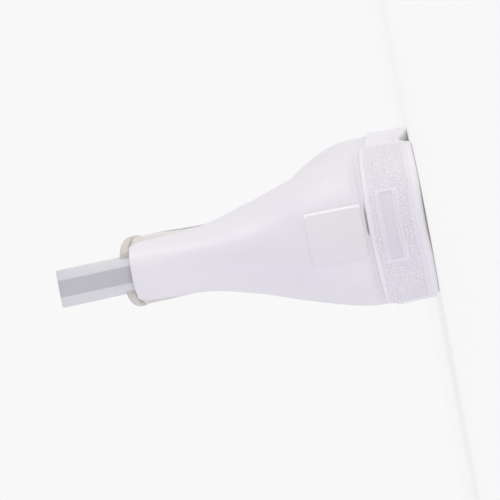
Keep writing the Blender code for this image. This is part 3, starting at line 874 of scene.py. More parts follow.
@dataclass(frozen=True)
class RubberFinish:
    """Moulded rubber: cloudy colour, soft gloss, fine orange peel, and a painted shade or highlight colour
    where a mesh attribute maps it.
    """

    name: str
    colour: Colour
    cloud: Colour
    roughness: float
    coat: float = 0.0
    grain: float = 0.12
    mark: Optional[Colour] = None
    painted_light_map: str = ""
    cloud_scale: float = 26.0
    cloud_span: Pair = (0.35, 0.65)
    smear_scale: float = 60.0
    smear_span: Pair = (0.3, 0.7)
    smear: Pair = (-0.05, 0.06)
    peel_scale: float = 1500.0
    peel_depth: float = 0.0002
    wave_scale: float = 130.0
    wave: float = 0.05
    wave_depth: float = 0.0012

    def material(self) -> bpy.types.Material:
        """Node material of this rubber.

        Returns:
            The material.
        """
        shader = Shader(self.name)
        drift = shader.spread(shader.noise(self.cloud_scale, 4.0), *self.cloud_span)
        colour = shader.blend(drift, self.colour, self.cloud)
        # Painted shade or highlight: the extra colour is blended in where the mesh's attribute is over 0.
        if self.mark is not None:
            colour = shader.blend(shader.attribute(self.painted_light_map), colour, self.mark)
        shader.feed(colour, "Base Color")
        glossy, dull = (self.roughness + change for change in self.smear)
        smears = shader.noise(self.smear_scale, 3.0)
        shader.feed(shader.spread(smears, *self.smear_span, glossy, dull), "Roughness")
        peel = shader.bump(shader.noise(self.peel_scale, 2.0), self.grain, self.peel_depth)
        wave = shader.bump(shader.noise(self.wave_scale, 2.0), self.wave, self.wave_depth, peel)
        shader.feed(wave, "Normal")
        shader.set(Coat_Weight=self.coat, Coat_Roughness=0.25, Specular_IOR_Level=0.42)
        return shader.material


@dataclass(frozen=True)
class KnitFinish:
    """Knit or brushed cloth: fine loops with painted shade between them, fuzz and a little sheen."""

    name: str
    colour: Colour
    shade: Colour
    pitch: float
    rib_map: str = ""
    worn_span: Pair = (0.2, 0.8)
    worn: Pair = (0.86, 0.97)
    rib_least: float = 0.6
    fuzz_scale: float = 900.0
    fuzz_span: Pair = (0.25, 0.75)
    fuzz_least: float = 0.75
    fuzz: float = 0.3
    fuzz_depth: float = 0.0002
    loop: float = 0.55
    loop_reach: float = 0.75
    loop_depth: float = 0.0003

    def material(self) -> bpy.types.Material:
        """Node material of this cloth.

        Returns:
            The material.
        """
        shader = Shader(self.name)
        loops = shader.node("ShaderNodeTexVoronoi", Vector=shader.place, Scale=1.0 / (self.pitch * MM))
        height = shader.spread(loops.outputs["Distance"], 0.0, self.loop_reach, 1.0, 0.0)
        fuzz = shader.noise(self.fuzz_scale, 3.0)
        # Painted shade: the shade colour lies between the loops and, with a rib map, in the rib troughs.
        tone = shader.math("MULTIPLY", height, shader.spread(fuzz, *self.fuzz_span, self.fuzz_least))
        if self.rib_map:
            tone = shader.spread(tone, 0.0, 1.0, self.rib_least)
            tone = shader.math("MULTIPLY", shader.attribute(self.rib_map), tone)
        shader.feed(shader.blend(tone, self.shade, self.colour), "Base Color")
        shader.feed(shader.spread(fuzz, *self.worn_span, *self.worn), "Roughness")
        nap = shader.bump(fuzz, self.fuzz, self.fuzz_depth)
        shader.feed(shader.bump(height, self.loop, self.loop_depth, nap), "Normal")
        shader.set(Sheen_Weight=0.25, Sheen_Roughness=0.5, Specular_IOR_Level=0.25)
        return shader.material


@dataclass(frozen=True)
class WebbingFinish:
    """Woven strap with a darker stripe down its middle and painted shade in the weave's low places."""

    name: str
    colour: Colour
    stripe: Colour
    stripe_half: float
    pick: float = 0.9
    stripe_edge: float = 0.25
    between: float = 0.86
    fibre_scale: float = 1400.0
    fibre_span: Pair = (0.2, 0.8)
    fibre_least: float = 0.7
    weave: float = 0.5
    weave_depth: float = 0.00025
    worn: Pair = (0.9, 0.78)

    def material(self) -> bpy.types.Material:
        """Node material that reads the strap's across and along lengths.

        Returns:
            The material.
        """
        shader = Shader(self.name)
        across = shader.attribute("across")
        along = shader.attribute("along")
        turn = 2.0 * math.pi / self.pick
        warp = shader.math("SINE", shader.math("MULTIPLY", across, turn))
        weft = shader.math("SINE", shader.math("MULTIPLY", along, turn))
        weave = shader.spread(shader.math("MULTIPLY", warp, weft), -1.0, 1.0)
        away = shader.math("ABSOLUTE", across)
        start, end = self.stripe_half - self.stripe_edge, self.stripe_half + self.stripe_edge
        base = shader.blend(shader.spread(away, start, end, 1.0, 0.0), self.colour, self.stripe)
        # Painted shade: darker where the weave's bump is low, between the threads.
        darker = shader.node("ShaderNodeHueSaturation", Value=self.between, Color=base).outputs["Color"]
        thread = shader.spread(shader.noise(self.fibre_scale, 2.0), *self.fibre_span, self.fibre_least)
        shader.feed(shader.blend(shader.math("MULTIPLY", weave, thread), darker, base), "Base Color")
        shader.feed(shader.spread(weave, 0.0, 1.0, *self.worn), "Roughness")
        shader.feed(shader.bump(weave, self.weave, self.weave_depth), "Normal")
        shader.set(Sheen_Weight=0.2, Sheen_Roughness=0.4, Specular_IOR_Level=0.3)
        return shader.material


@dataclass(frozen=True)
class Finishes:
    """All finishes of the boot, made once."""

    # The upper's second colour is a painted shadow line over the sole's wall behind the heel.
    upper: RubberFinish = RubberFinish(
        "white_upper_rubber", linear(231, 229, 233), linear(228, 225, 231), 0.42, coat=0.18, grain=0.08,
        mark=linear(128, 122, 134), painted_light_map="slit")
    # The patch's second colour is a painted highlight on the raised lip of its lateral edge.
    patch: RubberFinish = RubberFinish(
        "patch_rubber", linear(230, 228, 231), linear(227, 225, 228), 0.5, coat=0.06, grain=0.1,
        mark=linear(252, 251, 252), painted_light_map="lip")
    # The sole's second colour is painted shade in its pressed bars, band groove and between the stipple
    # points.
    sole: RubberFinish = RubberFinish(
        "white_sole_rubber", linear(237, 235, 239), linear(233, 231, 236), 0.52, coat=0.05, grain=0.2,
        mark=linear(184, 180, 192), painted_light_map="hollow")
    # The tread's second colour is painted shade in its grooves and down the inserts' sides in the gap to the
    # rim.
    tread: RubberFinish = RubberFinish(
        "grey_tread_rubber", linear(192, 193, 196), linear(183, 184, 188), 0.68, grain=0.3,
        mark=linear(154, 155, 159), painted_light_map="hollow")
    # The plate's second colour is painted shade in its sunk field.
    plate: RubberFinish = RubberFinish(
        "heel_frame_rubber", linear(234, 232, 237), linear(230, 227, 233), 0.5, coat=0.06, grain=0.12,
        mark=linear(221, 218, 225), painted_light_map="hollow")
    # Knit finishes: the second colour is painted shade between the loops; on the gores it also lies in the
    # rib troughs.
    knit: KnitFinish = KnitFinish("gore_knit", linear(245, 243, 240), linear(205, 201, 197), 0.5, "rib")
    lining: KnitFinish = KnitFinish("collar_knit", linear(230, 226, 222), linear(200, 194, 189), 0.8)
    footbed: KnitFinish = KnitFinish("footbed_knit", linear(214, 213, 216), linear(176, 175, 180), 1.0)
    webbing: WebbingFinish = WebbingFinish("loop_webbing", linear(228, 228, 231), linear(201, 200, 206), 4.3)

    @cached_property
    def made(self) -> dict[str, bpy.types.Material]:
        """Materials by the field's name."""
        return {finish.name: getattr(self, finish.name).material() for finish in fields(self)}


@dataclass
class Maker:
    """Adds meshes to the scene, on the boot's body and in its material slots."""

    last: Last
    finishes: Finishes

    def add(
            self, name: str, points: Array, faces: Sequence[Face], finish: str, slot: str,
            stands_for: Sequence[str] = (), values: Optional[dict[str, Array]] = None,
            second: str = "", second_from: int = 0
    ) -> None:
        """A smooth mesh piece that rides on the boot.

        Args:
            name: piece name.
            points: drawing points in millimetres.
            faces: vertex indices of each face.
            finish: name of its finish.
            slot: not used.
            stands_for: CAD nodes that the piece replaces.
            values: float attributes by name, one value a point.
            second: another finish for the faces from second_from on.
            second_from: index of the first such face.
        """
        mesh = bpy.data.meshes.new(name)
        mesh.from_pydata(self.last.place(points).tolist(), [], faces)
        mesh.materials.append(self.finishes.made[finish])
        if second:
            mesh.materials.append(self.finishes.made[second])
            index = np.zeros(len(mesh.polygons), dtype=np.int32)
            index[second_from:] = 1
            mesh.polygons.foreach_set("material_index", index)
        for key, value in (values or {}).items():
            layer = mesh.attributes.new(key, "FLOAT", "POINT")
            layer.data.foreach_set("value", np.asarray(value, dtype=np.float32).ravel())
        mesh.shade_smooth()
        mesh.update()
        piece = bpy.data.objects.new(name, mesh)
        bpy.context.scene.collection.objects.link(piece)
        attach(piece, BODY)
        if stands_for:
            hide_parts(*stands_for)
        LOG.info("%s: %d points, %d faces", name, len(mesh.vertices), len(mesh.polygons))

    def plate(
            self, name: str, outer: Array, inner: Array, finish: str, slot: str,
            stands_for: Sequence[str] = (), values: Optional[dict[str, Array]] = None
    ) -> None:
        """A closed plate between two grids of points.

        Args:
            name: piece name.
            outer: points of its outer face, columns running anticlockwise round the rows' direction.
            inner: points of its inner face.
            finish: name of its finish.
            slot: handed on to add, which does not use it.
            stands_for: CAD nodes that the piece replaces.
            values: float attributes by name, one value a point of a face.
        """
        rows, cols = outer.shape[:2]
        size = rows * cols
        points = np.vstack([outer.reshape(-1, 3), inner.reshape(-1, 3)])
        faces = grid_faces(rows, cols)
        faces += [tuple(size + v for v in reversed(face)) for face in grid_faces(rows, cols)]
        edge = edge_ring(rows, cols)
        for k, a in enumerate(edge):
            b = edge[(k + 1) % len(edge)]
            faces.append((b, a, size + a, size + b))
        both = {key: np.stack([value, value]) for key, value in (values or {}).items()}
        self.add(name, points, faces, finish, slot, stands_for, both)


@dataclass
class Assembly:
    """A sub-assembly of the boot that makes its own pieces."""

    maker: Maker

    @property
    def last(self) -> Last:
        """Form of the boot."""
        return self.maker.last


@dataclass
class Sole(Assembly):
    """Cup sole: rim, side wall with its stippled heel, tread inserts and the framed heel plate."""

    pocket_edge: tuple[Pair, ...] = ((0.0, 4.0), (0.0, 2.0), (0.0, 0.5), (0.15, 0.12))
    rim_bevel: float = 1.6
    bevel_height: float = 2.6
    upright_to: float = 9.0
    fine_step: float = 0.46
    coarse_step: float = 1.15
    fine_reach: float = 122.0
    dense_stations: int = 4000
    rim_rows: int = 22
    wall_rows: int = 50
    pocket_round: float = 0.5
    bevel_rows: int = 7
    lip_rows: int = 8
    lip_middle: float = 0.25
    lip_half: float = 0.75
    lip_rise: float = 0.95
    lip_drop: float = 1.0
    inner_rows: int = 5
    stipple_pitch: float = 2.15
    stipple_slip: float = 0.8
    stipple_height: float = 0.5
    stipple_size: Pair = (0.72, 0.3)
    stipple_power: float = 0.8
    stipple_reach: float = 76.0
    stipple_fade: float = 8.0
    stipple_shade: float = 0.34
    stipple_shade_power: int = 3
    stipple_clear: float = 0.6
    stipple_below: float = 1.6
    scatter: tuple[float, float, float, float] = (12.9898, 78.233, 43758.5453, 157.31)
    band_line: float = 4.0
    band_line_half: float = 0.45
    band_line_depth: float = 0.22
    band_line_shade: float = 0.18
    mark_half: float = 3.2
    mark_depth: float = 0.6
    mark_share: float = 0.18
    mark_ends: Pair = (0.8, 0.6)
    mark_rib_at: float = 1.25
    mark_rib_half: float = 0.15
    mark_rib_edge: float = 0.5
    mark_rib_floor: float = 0.35
    full_hollow: float = 0.9
    full_carving: float = 1.4
    groove_edge: float = 0.3
    tread_gap: float = 0.9
    tread_round: float = 0.8
    tread_edge: float = 0.5
    tip_gap: float = 0.06
    forefoot_step: float = 0.62
    heel_step: float = 0.6
    edge_crowding: float = 0.35
    waist_line_in: float = 2.6
    waist_line_half: float = 0.5
    tread_thick: float = 3.7
    plate_front: float = 121.0
    plate_back: float = 100.0
    plate_slant: float = math.tan(math.radians(-3.0))
    groove_drift: float = 0.4
    groove_shift: float = -0.8
    frame_half: float = 18.5
    frame_low: float = 12.3
    frame_high: float = 21.7
    frame_round: float = 2.2
    frame_border: float = 1.3
    frame_grid: tuple[int, int] = (130, 36)
    frame_sunk: float = 0.3
    frame_rise: float = 1.4
    frame_edge: float = 0.7
    field_edge: float = 0.6
    field_depth: float = 0.62
    frame_back: float = 0.4
    lateral_marks: tuple[float, ...] = (
        126.2, 141.0, 156.7, 175.7, 196.7, 215.6, 229.3, 240.2, 251.4, 260.5, 268.5)
    medial_marks: tuple[float, ...] = (132.5, 143.1, 154.6, 175.7, 195.6, 215.6, 228.2, 239.8, 250.3, 261.0)
    split: tuple[float, float, float, float] = (-0.4, 176.0, -2.0, 268.0)
    grooves: tuple[GrooveRow, ...] = table(
        GrooveRow,
        (2.0, 250.5, 16.0, 246.5, Groove.THIN),
        (3.0, 236.0, 34.0, 226.5, Groove.THIN),
        (22.0, 251.0, 10.5, 219.0, Groove.WIDE),
        (2.0, 219.5, 48.0, 206.0, Groove.WIDE),
        (2.0, 210.5, 48.0, 199.5, Groove.THIN),
        (2.0, 202.0, 48.0, 185.5, Groove.WIDE),
        (2.0, 190.0, 48.0, 176.5, Groove.THIN),
        (1.0, 179.5, 48.0, 164.0, Groove.WIDE),
        (0.6, 175.0, 10.8, 118.0, Groove.WIDE),
        (14.0, 172.0, 23.5, 118.0, Groove.WIDE),
        (6.5, 163.0, 15.5, 160.0, Groove.THIN),
        (18.0, 158.0, 34.0, 152.5, Groove.THIN),
        (9.0, 146.5, 17.5, 143.5, Groove.THIN),
        (20.0, 139.5, 30.0, 136.5, Groove.THIN),
    )
    sipes: tuple[SipeRow, ...] = table(
        SipeRow,
        (94.0, (-0.2, 30.0)), (77.8, (-15.4, 13.8)), (61.8, (-31.0, -1.3, 28.7)),
        (45.0, (-15.4, 12.8)), (28.6, (-2.2,)),
    )
    rim_sipes: tuple[SipeRow, ...] = table(
        SipeRow,
        (94.0, (-30.4,)), (77.8, (-44.6, 42.6)), (45.0, (-44.0, 41.2)),
        (28.6, (-32.0, 28.4)), (12.0, (-17.0, 12.4)),
    )
    sipe_legs: int = 4
    sipe_step: float = 5.7
    sipe_swing: float = 5.0
    rim_sipe_share: float = 0.6
    rim_sipe_fade: float = 1.2

    def build(self) -> None:
        """Make every piece of the sole."""
        self.cup()
        self.forefoot()
        self.waist()
        self.heel()
        self.heel_frame()

    def stations(self) -> Array:
        """Stations of the cup's columns, close together round the heel.

        Returns:
            Stations from heel to toe.
        """
        last = self.last
        dense = last.sole_length * shares(self.dense_stations)
        run = run_along(np.stack([last.middle(dense) + last.sole_half(dense), dense], axis=1))
        fine = np.arange(0.0, self.fine_reach, self.fine_step)
        rest = np.linspace(self.fine_reach, run[-1], int((run[-1] - self.fine_reach) / self.coarse_step))
        return np.interp(np.concatenate([fine, rest]), run, dense)

    def arcs(self, line: Array) -> Array:
        """Signed length from the heel tip to each outline point.

        Args:
            line: closed outline, heel tip first, lateral side before the medial.

        Returns:
            Lengths, over 0 on the lateral side.
        """
        half = len(line) // 2
        lateral = run_along(line[:half + 1])
        medial = run_along(np.vstack([line[:1], line[:half:-1]]))[1:]
        return np.concatenate([lateral, -medial[::-1]])

    def stipple(self, arc: Array, height: Array, top: Array) -> Array:
        """Small uneven points that stand on the wall round the heel.

        Args:
            arc: signed lengths from the heel tip.
            height: drawing heights.
            top: height of the wall's top.

        Returns:
            How far each place stands out.
        """
        rise = self.stipple_pitch * math.sqrt(0.75)
        row = np.round(height / rise)
        slide = arc / self.stipple_pitch - 0.5 * np.mod(row, 2.0)
        place = np.round(slide)
        by_place, by_row, by_all, by_other = self.scatter
        chance = np.mod(np.abs(np.sin(place * by_place + row * by_row) * by_all), 1.0)
        other = np.mod(chance * by_other, 1.0)
        beside = (slide - place) * self.stipple_pitch + self.stipple_slip * (chance - 0.5)
        above = height - row * rise + self.stipple_slip * (other - 0.5)
        least, more = self.stipple_size
        near = np.hypot(beside, above) / (0.5 * self.stipple_pitch * (least + more * other))
        points = np.clip(1.0 - near, 0.0, 1.0) ** self.stipple_power
        points = self.stipple_height * (0.5 + 0.5 * chance) * points
        return points * self.stipple_mask(arc, height, top)

    def stipple_mask(self, arc: Array, height: Array, top: Array) -> Array:
        """Where the wall is stippled: round the heel, clear of the framed plate and both edges.

        Args:
            arc: signed lengths from the heel tip.
            height: drawing heights.
            top: height of the wall's top.

        Returns:
            Shares from 0 to 1.
        """
        mask = smooth_step((self.stipple_reach + self.stipple_fade - np.abs(arc)) / self.stipple_fade)
        mask = mask * smooth_step(height - self.band_line - self.stipple_clear)
        mask = mask * smooth_step(top - self.stipple_below - height)
        beside = np.abs(arc) - self.frame_half
        beyond = np.maximum(self.frame_low - height, height - self.frame_high)
        return mask * smooth_step((np.maximum(beside, beyond) - self.stipple_clear) / self.stipple_clear)

    def rim_hollow(self, arc: Array, inset: Array, rim: Array, line: Array) -> Array:
        """Depth of the bars and heel sipes pressed into the rim underneath.

        Args:
            arc: signed lengths from the heel tip.
            inset: distances in from the outline.
            rim: width of the rim.
            line: closed outline of the sole.

        Returns:
            One depth a place.
        """
        half = len(line) // 2
        depth = np.zeros_like(inset)
        end, side_edge = self.mark_ends
        across = smooth_step((self.mark_share * rim - np.abs(inset - 0.5 * rim)) / side_edge)
        for side, marks in ((1.0, self.lateral_marks), (-1.0, self.medial_marks)):
            edge = line[:half + 1] if side > 0.0 else np.vstack([line[half:], line[:1]])[::-1]
            for middle in side * np.interp(marks, edge[:, 1], run_along(edge)):
                away = np.abs(arc - middle)
                bar = smooth_step((self.mark_half - away) / end) * across
                beside_rib = np.abs(away - self.mark_rib_at) - self.mark_rib_half
                rib = smooth_step(beside_rib / self.mark_rib_edge)
                ribbed = self.mark_rib_floor + (1.0 - self.mark_rib_floor) * rib
                depth = np.maximum(depth, self.mark_depth * bar * ribbed)
        spots = line[None, :, :] + inward(line)[None, :, :] * inset[:, :, None]
        lines = self.zigzags(spots[..., 0], spots[..., 1], self.sipes + self.rim_sipes)
        clear = smooth_step((inset - self.rim_bevel) / self.rim_sipe_fade)
        return np.maximum(depth, self.rim_sipe_share * lines * clear)

    def section(self, rim: Array, top: Array) -> tuple[Array, Array, slice, slice]:
        """Rows of the cup from the pocket's edge over rim, wall and lip to the floor inside.

        Args:
            rim: width of the rim at each column.
            top: height of the wall's top at each column.

        Returns:
            Insets, drawing heights, the rim's rows and the wall's rows.
        """
        last = self.last
        shoulder = top - self.lip_drop
        rows: list[tuple[Array, Array]] = []
        for back, height in self.pocket_edge:
            rows.append((rim - back, np.full_like(rim, height)))
        first_rim = len(rows)
        for share in np.linspace(0.0, 1.0, self.rim_rows):
            start = rim - self.pocket_round
            rows.append((start + (self.rim_bevel - start) * share, np.zeros_like(rim)))
        last_rim = len(rows)
        for turn in np.linspace(0.0, 0.5 * math.pi, self.bevel_rows)[1:]:
            inset = self.rim_bevel * (1.0 - math.sin(turn))
            height = self.bevel_height * (1.0 - math.cos(turn))
            rows.append((np.full_like(rim, inset), np.full_like(rim, height)))
        first_wall = len(rows)
        for share in np.linspace(0.0, 1.0, self.wall_rows + 1)[1:]:
            height = self.bevel_height + (shoulder - self.bevel_height) * share
            lean = np.clip((height - self.upright_to) / (shoulder - self.upright_to), 0.0, 1.0)
            rows.append((-last.wall_flare * lean, height))
        last_wall = len(rows)
        for turn in np.linspace(0.0, math.pi, self.lip_rows)[1:]:
            inset = self.lip_middle - self.lip_half * math.cos(turn)
            rows.append((np.full_like(rim, inset), shoulder + self.lip_rise * math.sin(turn)))
        for share in np.linspace(0.0, 1.0, self.inner_rows)[1:]:
            inset = self.lip_drop + (last.wall_thick - self.lip_drop) * share
            rows.append((np.full_like(rim, inset), shoulder + (last.floor_height - shoulder) * share))
        insets, heights = (np.array(column) for column in zip(*rows))
        return insets, heights, slice(first_rim, last_rim), slice(first_wall, last_wall)

    def cup(self) -> None:
        """Rim, side wall, rolled top edge and inner wall as one closed mesh."""
        last = self.last
        line = last.outline(self.stations())
        arc = self.arcs(line)
        rim = last.rim(line[:, 1])
        top = last.wall_top(line[:, 1])
        inset, height, under, wall = self.section(rim, top)
        # Painted shade: darker in the rim's pressed bars and sipes, in the band line's groove and between the
        # stipple points.
        hollow = np.zeros_like(inset)
        pressed = self.rim_hollow(arc[None, :], inset[under], rim[None, :], line)
        hollow[under] = pressed / self.full_hollow
        groove = np.exp(-((height[wall] - self.band_line) / self.band_line_half) ** 2)
        points_up = self.stipple(arc[None, :], height[wall], top[None, :])
        inset[wall] += self.band_line_depth * groove - points_up
        height[under] += pressed
        flat = line[None, :, :] + inward(line)[None, :, :] * inset[:, :, None]
        points = last.raised(flat, height)
        count = len(line)
        faces = ring_faces(len(inset), count)
        faces += [face[::-1] for face in ladder_faces(0, count)]
        faces += ladder_faces((len(inset) - 1) * count, count)
        mask = self.stipple_mask(arc[None, :], height[wall], top[None, :])
        between = mask * (1.0 - points_up / self.stipple_height) ** self.stipple_shade_power
        hollow[wall] = self.band_line_shade * groove + self.stipple_shade * between
        self.maker.add(
            "sole_cup", points.reshape(-1, 3), faces, "sole", "white_sole", ["outsole"], {"hollow": hollow})

    def insert(
            self, name: str, node: str, low: Optional[float], high: Optional[float],
            carve: Callable[[Array, Array], Array], step: float
    ) -> None:
        """One tread insert as a carved grid with an edge round it and a flat back.

        Args:
            name: piece name.
            node: CAD node that it replaces.
            low: station of its slanted back edge, or None for the heel's round end.
            high: station of its slanted front edge, or None for the toe's round end.
            carve: depth of the pattern at x and y.
            step: spacing of the grid.
        """
        last = self.last
        lateral, medial = last.sides(lambda y: last.rim(y) + self.tread_gap)
        start = low if low is not None else float(lateral[0, 1]) + self.tip_gap
        end = high if high is not None else float(lateral[-1, 1]) - self.tip_gap
        share = np.linspace(0.0, 1.0, int((end - start) / step))
        if low is None:
            share = 1.0 - np.cos(0.5 * math.pi * share)
        elif high is None:
            share = np.sin(0.5 * math.pi * share)
        station = start + (end - start) * share
        right = x_at(lateral, station)
        left = x_at(medial, station)
        cols = int((right - left).max() / step)
        even = np.linspace(-1.0, 1.0, cols)
        across = spans(cols) * self.edge_crowding + even * (1.0 - self.edge_crowding)
        half = 0.5 * (right - left)[:, None]
        x = 0.5 * (right + left)[:, None] + half * across[None, :]
        slant = np.ones_like(share)
        if high is None:
            slant = 1.0 - share
        elif low is None:
            slant = share
        y = station[:, None] + self.plate_slant * x * slant[:, None]
        depth = carve(x, y)
        edge = (1.0 - np.abs(across))[None, :] * half
        if low is not None:
            edge = np.minimum(edge, (station - start)[:, None])
        if high is not None:
            edge = np.minimum(edge, (end - station)[:, None])
        height = depth + self.tread_edge * np.clip(1.0 - edge / self.tread_round, 0.0, 1.0) ** 2
        flat = np.stack([x, y], axis=-1)
        grid = last.raised(flat, height)
        rows = len(station)
        ring = edge_ring(rows, cols)
        rim = last.raised(flat.reshape(-1, 2)[ring], np.full(len(ring), self.tread_thick))
        size = rows * cols
        faces = [face[::-1] for face in grid_faces(rows, cols)]
        for k, a in enumerate(ring):
            after = (k + 1) % len(ring)
            faces.append((a, ring[after], size + after, size + k))
        faces.append(tuple(range(size, size + len(ring))))
        # Painted shade: darker by groove depth, and dark down the sides and on the back in the gap to the
        # rim.
        hollow = np.concatenate([np.clip(depth / self.full_carving, 0.0, 1.0).ravel(), np.ones(len(ring))])
        points = np.vstack([grid.reshape(-1, 3), rim])
        self.maker.add(name, points, faces, "tread", "grey_rubber", [node], {"hollow": hollow})

    def trench(self, x: Array, y: Array, start: Sequence[float], end: Sequence[float], kind: Groove) -> Array:
        """Depth of one straight groove with soft shoulders.

        Args:
            x: places across.
            y: stations.
            start: x and y of one end.
            end: x and y of the other end.
            kind: width and depth.

        Returns:
            One depth a place.
        """
        width, deep = kind.value
        along = np.array(end) - np.array(start)
        length = float(np.linalg.norm(along))
        along /= length
        run = (x - start[0]) * along[0] + (y - start[1]) * along[1]
        off = np.abs((y - start[1]) * along[0] - (x - start[0]) * along[1])
        past = np.maximum(np.maximum(-run, run - length), 0.0)
        near = 0.5 * width + self.groove_edge - np.maximum(off, past)
        return deep * smooth_step(near / (2.0 * self.groove_edge))

    def forefoot_carving(self, x: Array, y: Array) -> Array:
        """Chevron grooves of the forefoot.

        Args:
            x: places across.
            y: stations.

        Returns:
            One depth a place.
        """
        depth = self.trench(x, y, self.split[:2], self.split[2:], Groove.WIDE)
        for row in self.grooves:
            for side in Side:
                ends = []
                for px, py in ((row.in_x, row.in_y), (row.out_x, row.out_y)):
                    drift = float(self.last.middle(py)) * self.groove_drift
                    ends.append((side.value * px + drift + self.groove_shift, py))
                depth = np.maximum(depth, self.trench(x, y, *ends, row.kind))
        return depth

    def heel_carving(self, x: Array, y: Array) -> Array:
        """Zigzag sipes of the heel insert."""
        return self.zigzags(x, y, self.sipes)

    def zigzags(self, x: Array, y: Array, rows: Sequence[SipeRow]) -> Array:
        """Rows of zigzag sipes.

        Args:
            x: places across.
            y: stations.
            rows: stations and middles of the zigzags.

        Returns:
            One depth a place.
        """
        depth = np.zeros_like(x)
        for row in rows:
            for middle in row.middles:
                bends = []
                for k in range(self.sipe_legs + 1):
                    swing = 0.5 * self.sipe_swing * (1.0 if k % 2 == 0 else -1.0)
                    bends.append((middle + (k - self.sipe_legs // 2) * self.sipe_step, row.y + swing))
                for start, end in zip(bends, bends[1:]):
                    depth = np.maximum(depth, self.trench(x, y, start, end, Groove.THIN))
        return depth

    def waist_carving(self, x: Array, y: Array) -> Array:
        """A line inside the front and back edge of the bare waist plate.

        Args:
            x: places across.
            y: stations.

        Returns:
            One depth a place.
        """
        near = np.abs(y - 0.5 * (self.plate_front + self.plate_back) - self.plate_slant * x)
        reach = 0.5 * (self.plate_front - self.plate_back) - self.waist_line_in
        half = self.waist_line_half
        return half * smooth_step((half - np.abs(near - reach)) / half)

    def forefoot(self) -> None:
        """Forefoot insert."""
        low = self.plate_front + 0.5 * self.tread_gap
        self.insert(
            "forefoot_chevrons", "forefoot_tread", low, None, self.forefoot_carving, self.forefoot_step)

    def waist(self) -> None:
        """Bare plate at the waist."""
        low = self.plate_back + 0.5 * self.tread_gap
        high = self.plate_front - 0.5 * self.tread_gap
        self.insert("waist_bar", "waist_plate", low, high, self.waist_carving, self.heel_step)

    def heel(self) -> None:
        """Heel insert."""
        high = self.plate_back - 0.5 * self.tread_gap
        self.insert("heel_zigzags", "heel_tread", None, high, self.heel_carving, self.heel_step)

    def heel_frame(self) -> None:
        """Bare framed plate on the wall at the heel's back."""
        last = self.last
        line = last.outline(last.sole_length * shares(last.dense))
        cols, rows = self.frame_grid
        u = np.linspace(-self.frame_half, self.frame_half, cols)
        v = np.linspace(self.frame_low, self.frame_high, rows)
        spots, ways = at_lengths(u, self.arcs(line), line, -inward(line))
        middle = 0.5 * (self.frame_low + self.frame_high)
        tall = 0.5 * (self.frame_high - self.frame_low)
        edge = rounded_edge(u, v - middle, self.frame_half, tall, self.frame_round)
        sunk = smooth_step((-edge - self.frame_border) / self.field_edge)
        rise = self.frame_rise * smooth_step(-edge / self.frame_edge) - self.frame_sunk
        rise = rise - self.field_depth * sunk
        top = float(last.wall_top(0.0)) - self.lip_drop
        flare = last.wall_flare * np.clip((v - self.upright_to) / (top - self.upright_to), 0.0, 1.0)
        heights = np.broadcast_to(v[:, None], rise.shape)
        back = np.full_like(rise, -self.frame_back)
        outer, inner = (
            last.raised(spots[None, :, :] + ways[None, :, :] * (out + flare[:, None])[:, :, None], heights)
            for out in (rise, back))
        # Painted shade: the sunk field inside the frame is darker.
        self.maker.plate(
            "heel_frame", outer, inner, "plate", "white_sole", ["heel_plate"], {"hollow": sunk})


